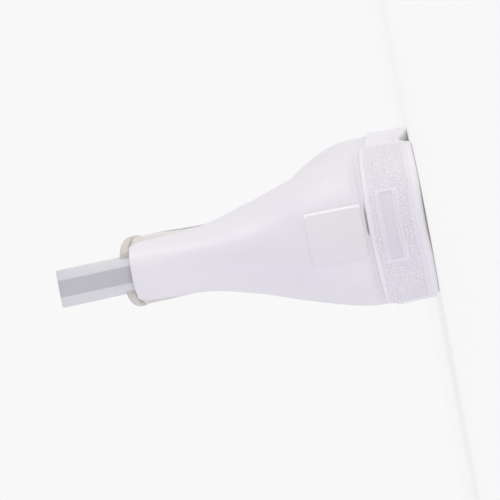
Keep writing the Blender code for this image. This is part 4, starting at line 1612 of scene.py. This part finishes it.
@dataclass
class Upper(Assembly):
    """Hollow rubber upper with its soft creases, side gores, heel patch, band, lining and footbed."""

    half_columns: int = 150
    row_counts: tuple[int, int, int] = (14, 26, 90)
    row_margins: tuple[float, float, float] = (2.5, 1.5, 1.6)
    lip_levels: tuple[float, ...] = (0.9886, 0.993, 0.996, 0.998, 0.9993, 1.0)
    lip_round: float = 0.75
    inner_lip_share: float = 0.6
    ridge_share: float = 0.45
    ridge_step: float = 1.7
    gore_fade: float = 9.0
    below_gore: float = 6.0
    sole_clear: Pair = (4.0, 8.0)
    collar_clear: Pair = (3.0, 10.0)
    slot_play: float = 0.1
    slot_points: int = 400
    dense_heights: int = 2000
    rib_pitch: float = 1.5
    rib_height: float = 0.2
    gore_grid: tuple[int, int] = (54, 200)
    gore_crowding: float = 1.5
    gore_foot: float = 0.9
    gore_margin: float = 0.35
    gore_depth: float = 0.75
    gore_thick: float = 1.0
    least_facing: float = 0.5
    bead_rows: int = 90
    bead_sides: int = 8
    bead_radius: float = 0.5
    bead_shape: Pair = (0.75, 1.5)
    bead_tip: float = 0.15
    bead_taper: float = 5.0
    bead_sunk: float = 0.15
    patch_half: float = 13.6
    patch_low: float = 30.5
    patch_high: float = 60.0
    patch_rise: float = 0.95
    patch_sunk: float = 0.25
    patch_corner: float = 1.2
    patch_edge: float = 1.1
    patch_back: float = 0.35
    patch_points: int = 80
    back_columns: int = 300
    # Raised lip near the patch's lateral edge, also painted lighter there as a highlight.
    patch_lip: float = 1.15
    patch_lip_width: float = 0.7
    patch_lip_rise: float = 0.3
    patch_lip_side: Pair = (3.5, 2.0)
    band_low: float = 29.9
    band_high: float = 35.6
    band_edge: float = 1.1
    band_rise: float = 0.4
    band_to: float = 118.0
    band_fade: float = 26.0
    seal_rise: float = 0.24
    seal_reach: float = 1.6
    # Painted shadow line just above the wall top behind the heel: span across, fades at its ends, height over
    # the wall and half height.
    slit_shadow_span: Pair = (-3.0, 15.0)
    slit_shadow_ends: Pair = (1.5, 8.0)
    slit_shadow_rise: float = 0.7
    slit_shadow_half: float = 0.5
    lining_low: float = 136.2
    lining_thick: float = 3.6
    lining_columns: int = 130
    lining_follows: float = 4.0
    lining_outside: tuple[float, ...] = (143.0, 149.4)
    lining_inside: tuple[float, ...] = (151.6, 147.0, 141.0)
    roll: tuple[Pair, ...] = (
        (1.9, 150.1), (0.9, 150.15), (0.15, 150.7), (-0.1, 151.8), (0.05, 153.1), (0.6, 154.1),
        (1.5, 154.8), (2.8, 155.2), (4.2, 155.0), (5.5, 154.4), (6.4, 153.3))
    strap_half: float = 9.5
    strap_fade: Pair = (2.4, 2.0)
    strap_depth: float = 5.0
    strap_press: float = 0.42
    insole_front: float = 3.2
    insole_heel: float = 9.0
    insole_inset: float = 0.6
    insole_grid: tuple[int, int] = (130, 41)
    insole_tip: float = 0.05
    cup_rise: float = 0.9
    cup_reach: float = 7.0
    wedge_from: float = 135.0
    wedge_over: float = 75.0
    dents: tuple[DentRow, ...] = table(
        DentRow,
        (0.0, 146.0, 106.0, 0.05, 17.0, 5.0, 1.7),
        (0.0, 157.0, 91.0, 0.12, 20.0, 5.5, 1.5),
        (0.0, 172.0, 79.0, 0.2, 18.0, 6.0, 0.9),
        (1.0, 122.0, 100.0, 0.65, 20.0, 6.0, 1.3),
        (-1.0, 120.0, 103.0, 0.55, 21.0, 6.5, 1.4),
        (1.0, 132.0, 82.0, 0.6, 22.0, 7.0, 1.1),
        (-1.0, 134.0, 80.0, 0.5, 24.0, 7.5, 1.2),
        (1.0, 84.0, 74.0, -0.35, 26.0, 8.0, 1.1),
        (-1.0, 80.0, 78.0, -0.3, 24.0, 8.0, 1.3),
        (1.0, 36.0, 94.0, 0.5, 20.0, 8.0, 0.8),
        (-1.0, 33.0, 98.0, 0.4, 20.0, 9.0, 0.9),
        (1.0, 30.0, 122.0, 1.45, 22.0, 6.0, 0.4),
        (-1.0, 30.0, 124.0, 1.6, 22.0, 6.0, 0.5),
        (1.0, 60.0, 52.0, 0.1, 34.0, 12.0, -0.5),
        (-1.0, 172.0, 52.0, -0.3, 22.0, 8.0, 0.6),
        (1.0, 190.0, 50.0, -0.3, 24.0, 8.0, 0.6),
    )

    def build(self) -> None:
        """Make every piece of the upper."""
        self.shell()
        for side in Side:
            self.gore(side)
            self.bead(side)
        self.patch()
        self.lining()
        self.footbed()

    def dent(self, side: float, y: Array, z: Array) -> Array:
        """How far the surface lies in (over 0) or out: creases clear of the gores, heel band and seal.

        Args:
            side: sign of the side.
            y: stations.
            z: drawing heights.

        Returns:
            One depth a place.
        """
        last = self.last
        depth = np.zeros_like(y)
        for row in self.dents:
            if row.side not in (0.0, side):
                continue
            dy = y - row.y
            dz = z - row.z
            along = dy * math.cos(row.turn) + dz * math.sin(row.turn)
            across = dz * math.cos(row.turn) - dy * math.sin(row.turn)
            hill = np.exp(-(along / row.long) ** 2)
            trough = np.exp(-(across / row.wide) ** 2)
            ridge = np.exp(-(across / row.wide - self.ridge_step) ** 2)
            depth = depth + row.depth * hill * (trough - self.ridge_share * ridge)
        beside = smooth_step((np.abs(y - last.gore_centre) - last.slot_half(z)) / self.gore_fade)
        fade = np.where(z < last.gore_bottom - self.below_gore, 1.0, beside)
        clear, over = self.sole_clear
        low = smooth_step((z - last.wall_top(y) - clear) / over)
        clear, over = self.collar_clear
        high = smooth_step((last.collar_height - clear - z) / over)
        band = smooth_step((z - self.band_low) / self.band_edge)
        band = band * smooth_step((self.band_high - z) / self.band_edge)
        band = band * smooth_step((self.band_to - y) / self.band_fade)
        seal = np.exp(-((z - last.wall_top(y)) / self.seal_reach) ** 2)
        return depth * fade * low * high - self.band_rise * band - self.seal_rise * seal

    def levels(self) -> Array:
        """Shares of the way from the sole to the collar, closer at the heel band and at the lip.

        Returns:
            Shares from 0 to 1, one a row of the shell.
        """
        last = self.last
        bottom = last.seat_height
        below, above, under = self.row_margins
        marks = (bottom, self.band_low - below, self.band_high + above, last.collar_height - under)
        rows = [np.linspace(low, high, count, endpoint=False)
                for low, high, count in zip(marks, marks[1:], self.row_counts)]
        shares_up = (np.concatenate(rows) - bottom) / (last.collar_height - bottom)
        return np.concatenate([shares_up, self.lip_levels])

    def grid(self) -> tuple[Array, Array, Array]:
        """Places of the shell's points, a loop a row, front first.

        Returns:
            Sides, stations and drawing heights.
        """
        last = self.last
        bottom = last.seat_height
        heights = np.linspace(bottom, last.collar_height, self.dense_heights)
        run = run_along(np.stack([last.front_line(heights), heights], axis=1))
        levels = self.levels()
        low = np.interp(levels * run[-1], run, heights)[:, None]
        high = (bottom + (last.collar_height - bottom) * levels)[:, None]
        share = shares(self.half_columns)[None, :]
        z = low + (high - low) * share
        y = last.front_line(low) + (last.back_line(high) - last.front_line(low)) * share
        side = np.concatenate([np.ones(self.half_columns + 1), -np.ones(self.half_columns - 1)])
        z = np.concatenate([z, z[:, 1:-1][:, ::-1]], axis=1)
        y = np.concatenate([y, y[:, 1:-1][:, ::-1]], axis=1)
        return np.broadcast_to(side, y.shape), y, z

    def surface(self, side: Array, y: Array, z: Array) -> Array:
        """Points of the plain outer face, with its front and back lines on the middle.

        Args:
            side: signs of the sides.
            y: stations.
            z: drawing heights.

        Returns:
            x, y and z of each point.
        """
        last = self.last
        points = last.upper_point(side, y, z)
        for tip in (0, self.half_columns):
            points[:, tip, 0] = last.upper_middle(y[:, tip], z[:, tip])
        return points

    @staticmethod
    def normals(grid: Array) -> Array:
        """Outward unit vectors of a grid of closed loops.

        Args:
            grid: points, a loop a row.

        Returns:
            One vector a point.
        """
        around = np.roll(grid, -2, axis=1) - np.roll(grid, 2, axis=1)
        rising = np.gradient(grid, axis=0)
        normal = np.cross(rising, around)
        return normal / np.linalg.norm(normal, axis=2)[:, :, None]

    def slot_edge(self, count: int) -> Array:
        """Edge of the gore slot, back edge down and front edge up.

        Args:
            count: steps of each edge.

        Returns:
            Rows of station and height.
        """
        last = self.last
        z = last.gore_bottom + (last.collar_height - last.gore_bottom) * shares(count)[::-1]
        half = last.slot_half(z) + self.slot_play
        back = np.column_stack([last.gore_centre - half, z])
        front = np.column_stack([last.gore_centre + half, z])[::-1]
        return np.vstack([back, front])

    def slots(self, y: Array, z: Array) -> tuple[Array, Array]:
        """Find the gore slots in the shell's grid.

        Args:
            y: stations of the grid.
            z: drawing heights of the grid.

        Returns:
            Which faces are left open, and which points lie on a slot's edge.
        """
        rows, cols = y.shape
        hole = np.abs(y - self.last.gore_centre) < self.last.slot_half(z) + self.slot_play
        quad = np.stack([hole, np.roll(hole, -1, axis=1)])
        inside = quad[:, :-1].astype(int) + quad[:, 1:].astype(int)
        open_face = inside.sum(axis=0) >= 3
        touched = np.zeros((rows, cols), dtype=int)
        kept = np.zeros((rows, cols), dtype=int)
        for di in (0, 1):
            for dj in (0, 1):
                part = slice(di, rows - 1 + di)
                touched[part] += np.roll(open_face, dj, axis=1)
                kept[part] += np.roll(~open_face, dj, axis=1)
        return open_face, (touched > 0) & (kept > 0)

    @staticmethod
    def skins(open_face: Array) -> tuple[list[Face], list[Face]]:
        """Faces of two skins of closed loops, joined along their open edges.

        Args:
            open_face: which faces are left open.

        Returns:
            Faces of the outside and of the edges, and faces of the inside.
        """
        rows, cols = open_face.shape[0] + 1, open_face.shape[1]
        size = rows * cols
        faces: list[Face] = []
        linings: list[Face] = []
        for ring, is_open in zip(ring_faces(rows, cols), open_face.ravel()):
            if not is_open:
                faces.append(ring[::-1])
                linings.append(tuple(size + v for v in ring))
        once: dict[tuple[int, int], None] = {}
        for ring in faces:
            for a, b in zip(ring, ring[1:] + ring[:1]):
                if (b, a) in once:
                    del once[(b, a)]
                else:
                    once[(a, b)] = None
        faces += [(b, a, size + a, size + b) for a, b in once]
        return faces, linings

    def shell(self) -> None:
        """The hollow upper, cut open for the gores, with a rolled lip at the collar and a painted shadow line
        just above the sole's wall behind the heel.
        """
        last = self.last
        side, y, z = self.grid()
        open_face, seam = self.slots(y, z)
        edge = self.slot_edge(self.slot_points)
        spots = np.stack([y[seam], z[seam]], axis=1)
        nearest = np.argmin(np.linalg.norm(spots[:, None, :] - edge[None, :, :], axis=2), axis=1)
        normal = self.normals(self.surface(side, y, z))
        y[seam] = edge[nearest, 0]
        z[seam] = edge[nearest, 1]
        plain = self.surface(side, y, z)
        depth = np.where(side > 0.0, self.dent(1.0, y, z), self.dent(-1.0, y, z))
        round_off = self.lip_round
        below = np.clip((1.0 - self.levels()) * (last.collar_height - last.floor_height), 0.0, round_off)
        lip = (round_off - np.sqrt(np.clip(round_off ** 2 - (round_off - below) ** 2, 0.0, None)))[:, None]
        outer = plain - normal * (depth + lip)[:, :, None]
        inner = plain - normal * (depth + last.shell_thick - self.inner_lip_share * lip)[:, :, None]
        for end in (0, -1):
            inner[end, :, 2] = outer[end, :, 2]
        faces, linings = self.skins(open_face)
        points = np.vstack([outer.reshape(-1, 3), inner.reshape(-1, 3)])
        # Painted shadow: a dark line on the outer face just above the wall top behind the heel, where the
        # crevice lies in shade; no gap is modelled.
        low, high = self.slit_shadow_span
        low_end, high_end = self.slit_shadow_ends
        x = outer[..., 0]
        slit = smooth_step((x - low) / low_end) * smooth_step((high - x) / high_end) * (y < last.heel_round)
        slit = slit * np.exp(-((z - last.wall_top(y) - self.slit_shadow_rise) / self.slit_shadow_half) ** 2)
        self.maker.add(
            "boot_shell", points, faces + linings, "upper", "white_rubber", ["upper"],
            {"slit": np.stack([slit, np.zeros_like(slit)])}, "lining", len(faces))

    def gore(self, side: Side) -> None:
        """Ribbed stretch panel that fills one slot.

        Args:
            side: the slot's side.
        """
        last = self.last
        rows, cols = self.gore_grid
        low = last.gore_bottom + self.gore_foot
        rise = np.linspace(0.0, 1.0, rows) ** self.gore_crowding
        z = low + (last.collar_height - self.gore_margin - low) * rise
        half = last.slot_half(z) - self.gore_margin
        y = last.gore_centre + half[:, None] * np.linspace(-1.0, 1.0, cols)[None, :]
        z = np.broadcast_to(z[:, None], y.shape)
        face = last.upper_point(side.value, y, z)
        facing = np.maximum(np.abs(last.upper_normal(side.value, y, z)[..., 0]), self.least_facing)
        rib = self.rib_height * np.cos(2.0 * math.pi * (y - last.gore_centre) / self.rib_pitch)
        near = face.copy()
        near[..., 0] -= side.value * (self.gore_depth - rib) / facing
        far = face.copy()
        far[..., 0] -= side.value * (self.gore_depth + self.gore_thick) / facing
        order = 1 if side is Side.LATERAL else -1
        # Rib map for the knit's painted shade: low in the rib troughs.
        tone = 0.5 + 0.5 * rib / self.rib_height
        self.maker.plate(
            "gore_knit_" + side.name.lower(), near[:, ::order], far[:, ::order], "knit", "stretch_knit",
            ["gore_" + side.name.lower()], {"rib": tone[:, ::order]})

    def bead(self, side: Side) -> None:
        """Thin rubber bead along one slot's edge, tapered to the collar.

        Args:
            side: the slot's side.
        """
        last = self.last
        edge = self.slot_edge(self.bead_rows)
        path = last.upper_point(side.value, edge[:, 0], edge[:, 1])
        out = last.upper_normal(side.value, edge[:, 0], edge[:, 1])
        along = np.gradient(path, axis=0)
        along /= np.linalg.norm(along, axis=1)[:, None]
        across = np.cross(along, out)
        run = run_along(path)
        from_end = smooth_step(np.minimum(run, run[-1] - run) / self.bead_taper)
        radius = self.bead_radius * (self.bead_tip + (1.0 - self.bead_tip) * from_end)[:, None]
        high, wide = self.bead_shape
        sides = []
        for turn in np.linspace(0.0, 2.0 * math.pi, self.bead_sides + 1)[:-1]:
            around = high * math.sin(turn) * out + wide * math.cos(turn) * across
            sides.append(path + radius * around - self.bead_sunk * out)
        points = np.stack(sides, axis=1).reshape(-1, 3)
        first = tuple(range(self.bead_sides))
        faces = ring_faces(len(path), self.bead_sides)
        faces += [first[::-1], tuple(len(points) - self.bead_sides + k for k in first)]
        self.maker.add("gore_bead_" + side.name.lower(), points, faces, "upper", "white_rubber")

    def back_run(self, z: float, arc: Array) -> tuple[Array, Array]:
        """Points along the upper from its back middle, and the outward vectors.

        Args:
            z: drawing height.
            arc: signed lengths, over 0 on the lateral side.

        Returns:
            Rows of points and rows of unit vectors.
        """
        line = self.last.section(z, self.back_columns)[::-1]
        back = len(line) // 2
        turned = np.roll(line, back - int(np.argmin(line[:, 1])), axis=0)
        run = run_along(turned)
        return at_lengths(arc, run - run[back], turned, -inward(turned))

    def strip(self, heights: Array, arcs: Array, rise: Array) -> Array:
        """Grid on the back of the upper.

        Args:
            heights: drawing height of each row.
            arcs: signed length of each column from the back middle.
            rise: how far each point stands out.

        Returns:
            x, y and z of each point.
        """
        rows = []
        for z, lifted in zip(heights, rise):
            spots, ways = self.back_run(float(z), arcs)
            flat = spots + ways * lifted[:, None]
            rows.append(self.last.raised(flat, np.full(len(arcs), float(z))))
        return np.array(rows)

    def patch(self) -> None:
        """Low rectangular patch on the back of the heel, with a raised lip on its lateral edge that is
        painted lighter as a highlight.
        """
        middle = 0.5 * (self.patch_low + self.patch_high)
        tall = 0.5 * (self.patch_high - self.patch_low)
        u = self.patch_half * spans(self.patch_points)
        v = middle + tall * spans(self.patch_points)
        edge = rounded_edge(u, v - middle, self.patch_half, tall, self.patch_corner)
        over = np.sin(0.5 * math.pi * np.clip(-edge / self.patch_edge, 0.0, 1.0))
        rise = (self.patch_rise + self.patch_sunk) * over - self.patch_sunk
        # The lip's mask also carries the painted highlight, kept to the lateral side where the light falls.
        lip = np.exp(-((edge + self.patch_lip) / self.patch_lip_width) ** 2)
        reach, fade = self.patch_lip_side
        lip = lip * smooth_step((u - self.patch_half + reach) / fade)[None, :]
        outer = self.strip(v, u, rise + self.patch_lip_rise * lip)
        inner = self.strip(v, u, np.full_like(rise, -self.patch_back))
        self.maker.plate(
            "heel_patch", outer, inner, "patch", "white_rubber", ["back_patch"], {"lip": lip})

    def lining(self) -> None:
        """Lining band inside the collar, rolled out over its edge and pressed in behind the strap."""
        last = self.last
        skin = last.shell_thick + last.gap
        deep = skin + self.lining_thick
        profile = [(skin, height) for height in (self.lining_low, *self.lining_outside)]
        profile += self.roll
        profile += [(deep, height) for height in (*self.lining_inside, self.lining_low)]
        past, fade = self.strap_fade
        rings = []
        for depth, height in profile:
            section = last.section(min(height, last.collar_height + self.lining_follows), self.lining_columns)
            into = inward(section[::-1])[::-1]
            at_back = section[:, 1] < 0.5 * (last.front_line(height) + last.back_line(height))
            behind = smooth_step((self.strap_half + past - np.abs(section[:, 0])) / fade) * at_back
            pressed = self.strap_depth + self.strap_press * depth
            moved = section + into * (depth + behind * (pressed - depth))[:, None]
            rings.append(np.column_stack([moved, np.full(len(moved), height)]))
        count = len(rings[0])
        self.maker.add(
            "collar_roll", np.vstack(rings), ring_faces(len(rings), count, True), "lining", "lining",
            ["collar_lining"])

    def footbed(self) -> None:
        """Cupped insole wedge on the sole's floor."""
        last = self.last
        rows, cols = self.insole_grid
        inset = last.wall_thick + last.gap + last.shell_thick + self.insole_inset
        lateral, medial = last.sides(lambda y: np.full_like(y, inset))
        station = lateral[0, 1] + (lateral[-1, 1] - lateral[0, 1]) * shares(rows)
        station[0] += self.insole_tip
        station[-1] -= self.insole_tip
        right = x_at(lateral, station)
        left = x_at(medial, station)
        across = spans(cols)
        half = 0.5 * (right - left)[:, None]
        x = 0.5 * (right + left)[:, None] + half * across[None, :]
        flat = np.stack([x, np.broadcast_to(station[:, None], x.shape)], axis=-1)
        wedge = smooth_step((self.wedge_from - station) / self.wedge_over)[:, None]
        thick = self.insole_front + (self.insole_heel - self.insole_front) * wedge
        edge = (1.0 - np.abs(across))[None, :] * half
        edge = np.minimum(edge, np.minimum(station - station[0], station[-1] - station)[:, None])
        cup = np.exp(-edge / self.cup_reach) * wedge - np.clip(1.0 - edge, 0.0, 1.0) ** 2
        outer = last.raised(flat, last.seat_height + thick + self.cup_rise * cup)
        inner = last.raised(flat, np.full(x.shape, last.seat_height))
        self.maker.plate("footbed", outer[:, ::-1], inner[:, ::-1], "footbed", "footbed", ["insole"])


@dataclass
class PullLoop(Assembly):
    """Webbing loop sewn in behind the collar's back."""

    width: float = 19.0
    thick: float = 1.1
    top: float = 188.0
    split: float = 155.5
    root: float = 138.5
    sewn_heights: tuple[float, ...] = (144.0, 150.0, 154.0)
    opening: float = 14.0
    pinch: float = 1.3
    bend_points: int = 240
    bend_cut: tuple[int, int] = (16, 15)
    layer_gap: float = 0.03
    root_gap: float = 0.1
    edge_power: int = 14
    lean: float = 0.02
    columns: int = 25
    rows: int = 190

    def build(self) -> None:
        """Make the strap."""
        self.strap()

    def bow(self, x: Array, z: Array) -> Array:
        """How far the strap bends forward with the collar's back, less and less above it.

        Args:
            x: distances to the side.
            z: drawing heights.

        Returns:
            One distance a place.
        """
        last = self.last
        collar = last.collar_height
        wide = float(last.shaft_half(collar)) - last.shell_thick
        reach = 0.5 * float(last.front_line(collar) - last.back_line(collar)) - last.shell_thick
        curve = reach * (1.0 - round_end(np.abs(x) / wide, last.shaft_power))
        return curve * (1.0 - smooth_step((z - collar) / (self.top - collar)))

    def route(self) -> Array:
        """Middle line of the strap in side view, from its front root over the top to its back root.

        Returns:
            Rows of distance forward and drawing height.
        """
        turn = np.linspace(0.0, 2.0 * math.pi, self.bend_points + 1)[:-1]
        tall = self.top - self.thick - self.split
        z = self.split + tall * 0.5 * (1.0 - np.cos(turn))
        y = 0.5 * self.opening * np.sin(turn) * np.sin(0.5 * turn) ** self.pinch
        hole = np.column_stack([y, z])
        first, spare = self.bend_cut
        bend = (hole - inward(hole) * 0.5 * self.thick)[first:-spare]
        layer = 0.5 * self.thick + self.layer_gap
        heights = (self.root, *self.sewn_heights)
        front = [(layer, height) for height in heights]
        back = [(-layer, height) for height in reversed(heights)]
        line = np.vstack([front, bend, back])
        run = run_along(line)
        even = np.linspace(0.0, run[-1], self.rows)
        return np.column_stack([np.interp(even, run, line[:, 0]), np.interp(even, run, line[:, 1])])

    def strap(self) -> None:
        """The woven strap as a thin closed sweep."""
        last = self.last
        line = self.route()
        along = np.gradient(line, axis=0)
        along /= np.linalg.norm(along, axis=1)[:, None]
        normal = np.column_stack([along[:, 1], -along[:, 0]])
        half = 0.5 * self.width
        x = half * spans(self.columns)
        thin = 0.5 * self.thick * (1.0 - np.abs(x / half) ** self.edge_power) ** 0.5
        cross_x = np.concatenate([x, x[::-1][1:-1]])
        cross_t = np.concatenate([thin, -thin[::-1][1:-1]])
        root_y = float(last.back_line(self.root)) + last.shell_thick + last.gap + self.thick + self.root_gap
        flat = line[:, None, :] + normal[:, None, :] * cross_t[None, :, None]
        wide = np.broadcast_to(cross_x[None, :], flat.shape[:2])
        z = flat[..., 1]
        lean = -self.lean * np.clip(z - last.collar_height, 0.0, None)
        y = root_y + flat[..., 0] + self.bow(wide, z)
        points = np.stack([wide + lean, y, z], axis=-1)
        rows, count = wide.shape
        faces = [face[::-1] for face in ring_faces(rows, count)]
        faces += [tuple(range(count)), tuple(range((rows - 1) * count, rows * count))[::-1]]
        run = np.broadcast_to(run_along(line)[:, None], wide.shape)
        self.maker.add(
            "webbing_loop", points.reshape(-1, 3), faces, "webbing", "webbing", ["pull_loop"],
            {"across": wide, "along": run})


@dataclass(frozen=True)
class SoftLight:
    """One large soft light aimed at the boot."""

    name: str
    place: Place
    power: float
    tint: Colour
    size: float = 1.8
    aim: Place = (0.0, -0.02, 0.06)

    def build(self) -> None:
        """Add the light, unseen by the camera."""
        lamp = bpy.data.lights.new(self.name, "AREA")
        lamp.shape = "DISK"
        lamp.size = self.size
        lamp.energy = self.power
        lamp.color = self.tint
        item = bpy.data.objects.new(self.name, lamp)
        item.visible_camera = False
        item.location = self.place
        item.rotation_mode = "QUATERNION"
        item.rotation_quaternion = (Vector(self.aim) - Vector(self.place)).to_track_quat("-Z", "Y")
        bpy.context.scene.collection.objects.link(item)


@dataclass
class Studio:
    """Pale floor, soft light and the rolled camera behind the heel."""

    azimuth: float = math.radians(1.2)
    roll: float = math.radians(10.8)
    distance: float = 1.15
    eye_height: float = 0.014
    lens: float = 160.0
    sensor: float = 36.0
    clip: float = 0.01
    aim: Place = (0.0, -0.08, 0.092)
    floor_half: float = 4.0
    floor_drop: float = 0.0002
    floor_tones: tuple[Colour, Colour] = (linear(249, 250, 249), linear(247, 248, 247))
    tone_scale: float = 3.0
    floor_glow: float = 0.2
    near_glow: Colour = (0.55, 0.56, 0.45)
    far_glow: Colour = (0.98, 1.0, 0.94)
    glow_reach: float = 2.0
    world_seen: float = 0.94
    world_light: float = 0.79
    world_tint: Colour = (0.985, 0.968, 1.0)
    lights: tuple[SoftLight, ...] = (
        SoftLight("key", (2.2, -0.6, 0.6), 14.5, (1.0, 0.985, 0.965)),
        SoftLight("fill", (-1.7, -1.2, 0.7), 7.5, (0.78, 0.74, 1.0)))

    def build(self) -> None:
        """Set up floor, world, lights and camera."""
        self.floor()
        self.world()
        for light in self.lights:
            light.build()
        self.camera()
        view = bpy.context.scene.view_settings
        view.view_transform = "Standard"
        view.look = "None"

    def floor(self) -> None:
        """Wide pale floor under the sole, glowing more away from the boot."""
        half = self.floor_half
        mesh = bpy.data.meshes.new("studio_floor")
        corners = ((-half, -half), (half, -half), (half, half), (-half, half))
        mesh.from_pydata([(*corner, -self.floor_drop) for corner in corners], [], [(0, 1, 2, 3)])
        shader = Shader("studio_floor_paint")
        tone = shader.blend(shader.noise(self.tone_scale, 2.0), *self.floor_tones)
        shader.feed(tone, "Base Color")
        shader.set(Roughness=0.9, Specular_IOR_Level=0.1, Emission_Strength=self.floor_glow)
        split = shader.node("ShaderNodeSeparateXYZ", Vector=shader.place)
        ahead = split.outputs["Y"]
        beside = shader.math("ABSOLUTE", split.outputs["X"])
        behind = shader.math("SUBTRACT", shader.math("MULTIPLY", ahead, -1.0), self.distance)
        reach = shader.math("MAXIMUM", shader.math("MAXIMUM", ahead, beside), behind)
        far = shader.spread(reach, 0.0, self.glow_reach)
        shader.feed(shader.blend(far, self.near_glow, self.far_glow), "Emission Color")
        mesh.materials.append(shader.material)
        floor = bpy.data.objects.new("studio_floor", mesh)
        bpy.context.scene.collection.objects.link(floor)

    def world(self) -> None:
        """White surround, brighter to the eye than as light."""
        world = bpy.data.worlds.new("studio_world")
        world.use_nodes = True
        tree = world.node_tree
        seen = tree.nodes["Background"]
        seen.inputs["Color"].default_value = (1.0, 1.0, 1.0, 1.0)
        seen.inputs["Strength"].default_value = self.world_seen
        light = tree.nodes.new("ShaderNodeBackground")
        light.inputs["Color"].default_value = (*self.world_tint, 1.0)
        light.inputs["Strength"].default_value = self.world_light
        path = tree.nodes.new("ShaderNodeLightPath")
        mix = tree.nodes.new("ShaderNodeMixShader")
        tree.links.new(path.outputs["Is Camera Ray"], mix.inputs[0])
        tree.links.new(light.outputs[0], mix.inputs[1])
        tree.links.new(seen.outputs[0], mix.inputs[2])
        tree.links.new(mix.outputs[0], tree.nodes["World Output"].inputs[0])
        bpy.context.scene.world = world

    def camera(self) -> None:
        """Camera low behind the heel, rolled so that the shaft points to the picture's left."""
        aim = Vector(self.aim)
        eye = Vector((
            aim.x + self.distance * math.sin(self.azimuth),
            aim.y - self.distance * math.cos(self.azimuth),
            self.eye_height))
        ahead = (aim - eye).normalized()
        right = ahead.cross(Vector((0.0, 0.0, 1.0))).normalized()
        up = right.cross(ahead)
        across = -math.sin(self.roll) * right - math.cos(self.roll) * up
        upward = math.cos(self.roll) * right - math.sin(self.roll) * up
        data = bpy.data.cameras.new("camera")
        data.lens = self.lens
        data.sensor_width = self.sensor
        data.clip_start = self.clip
        item = bpy.data.objects.new("camera", data)
        turn = Matrix((across, upward, -ahead)).transposed()
        item.matrix_world = Matrix.Translation(eye) @ turn.to_4x4()
        bpy.context.scene.collection.objects.link(item)
        bpy.context.scene.camera = item


def main() -> None:
    """Build the boot and its studio in order."""
    logging.basicConfig(level=logging.INFO, format="%(name)s %(message)s")
    maker = Maker(Last(), Finishes())
    Sole(maker).build()
    Upper(maker).build()
    PullLoop(maker).build()
    Studio().build()


if __name__ == "__main__":
    main()
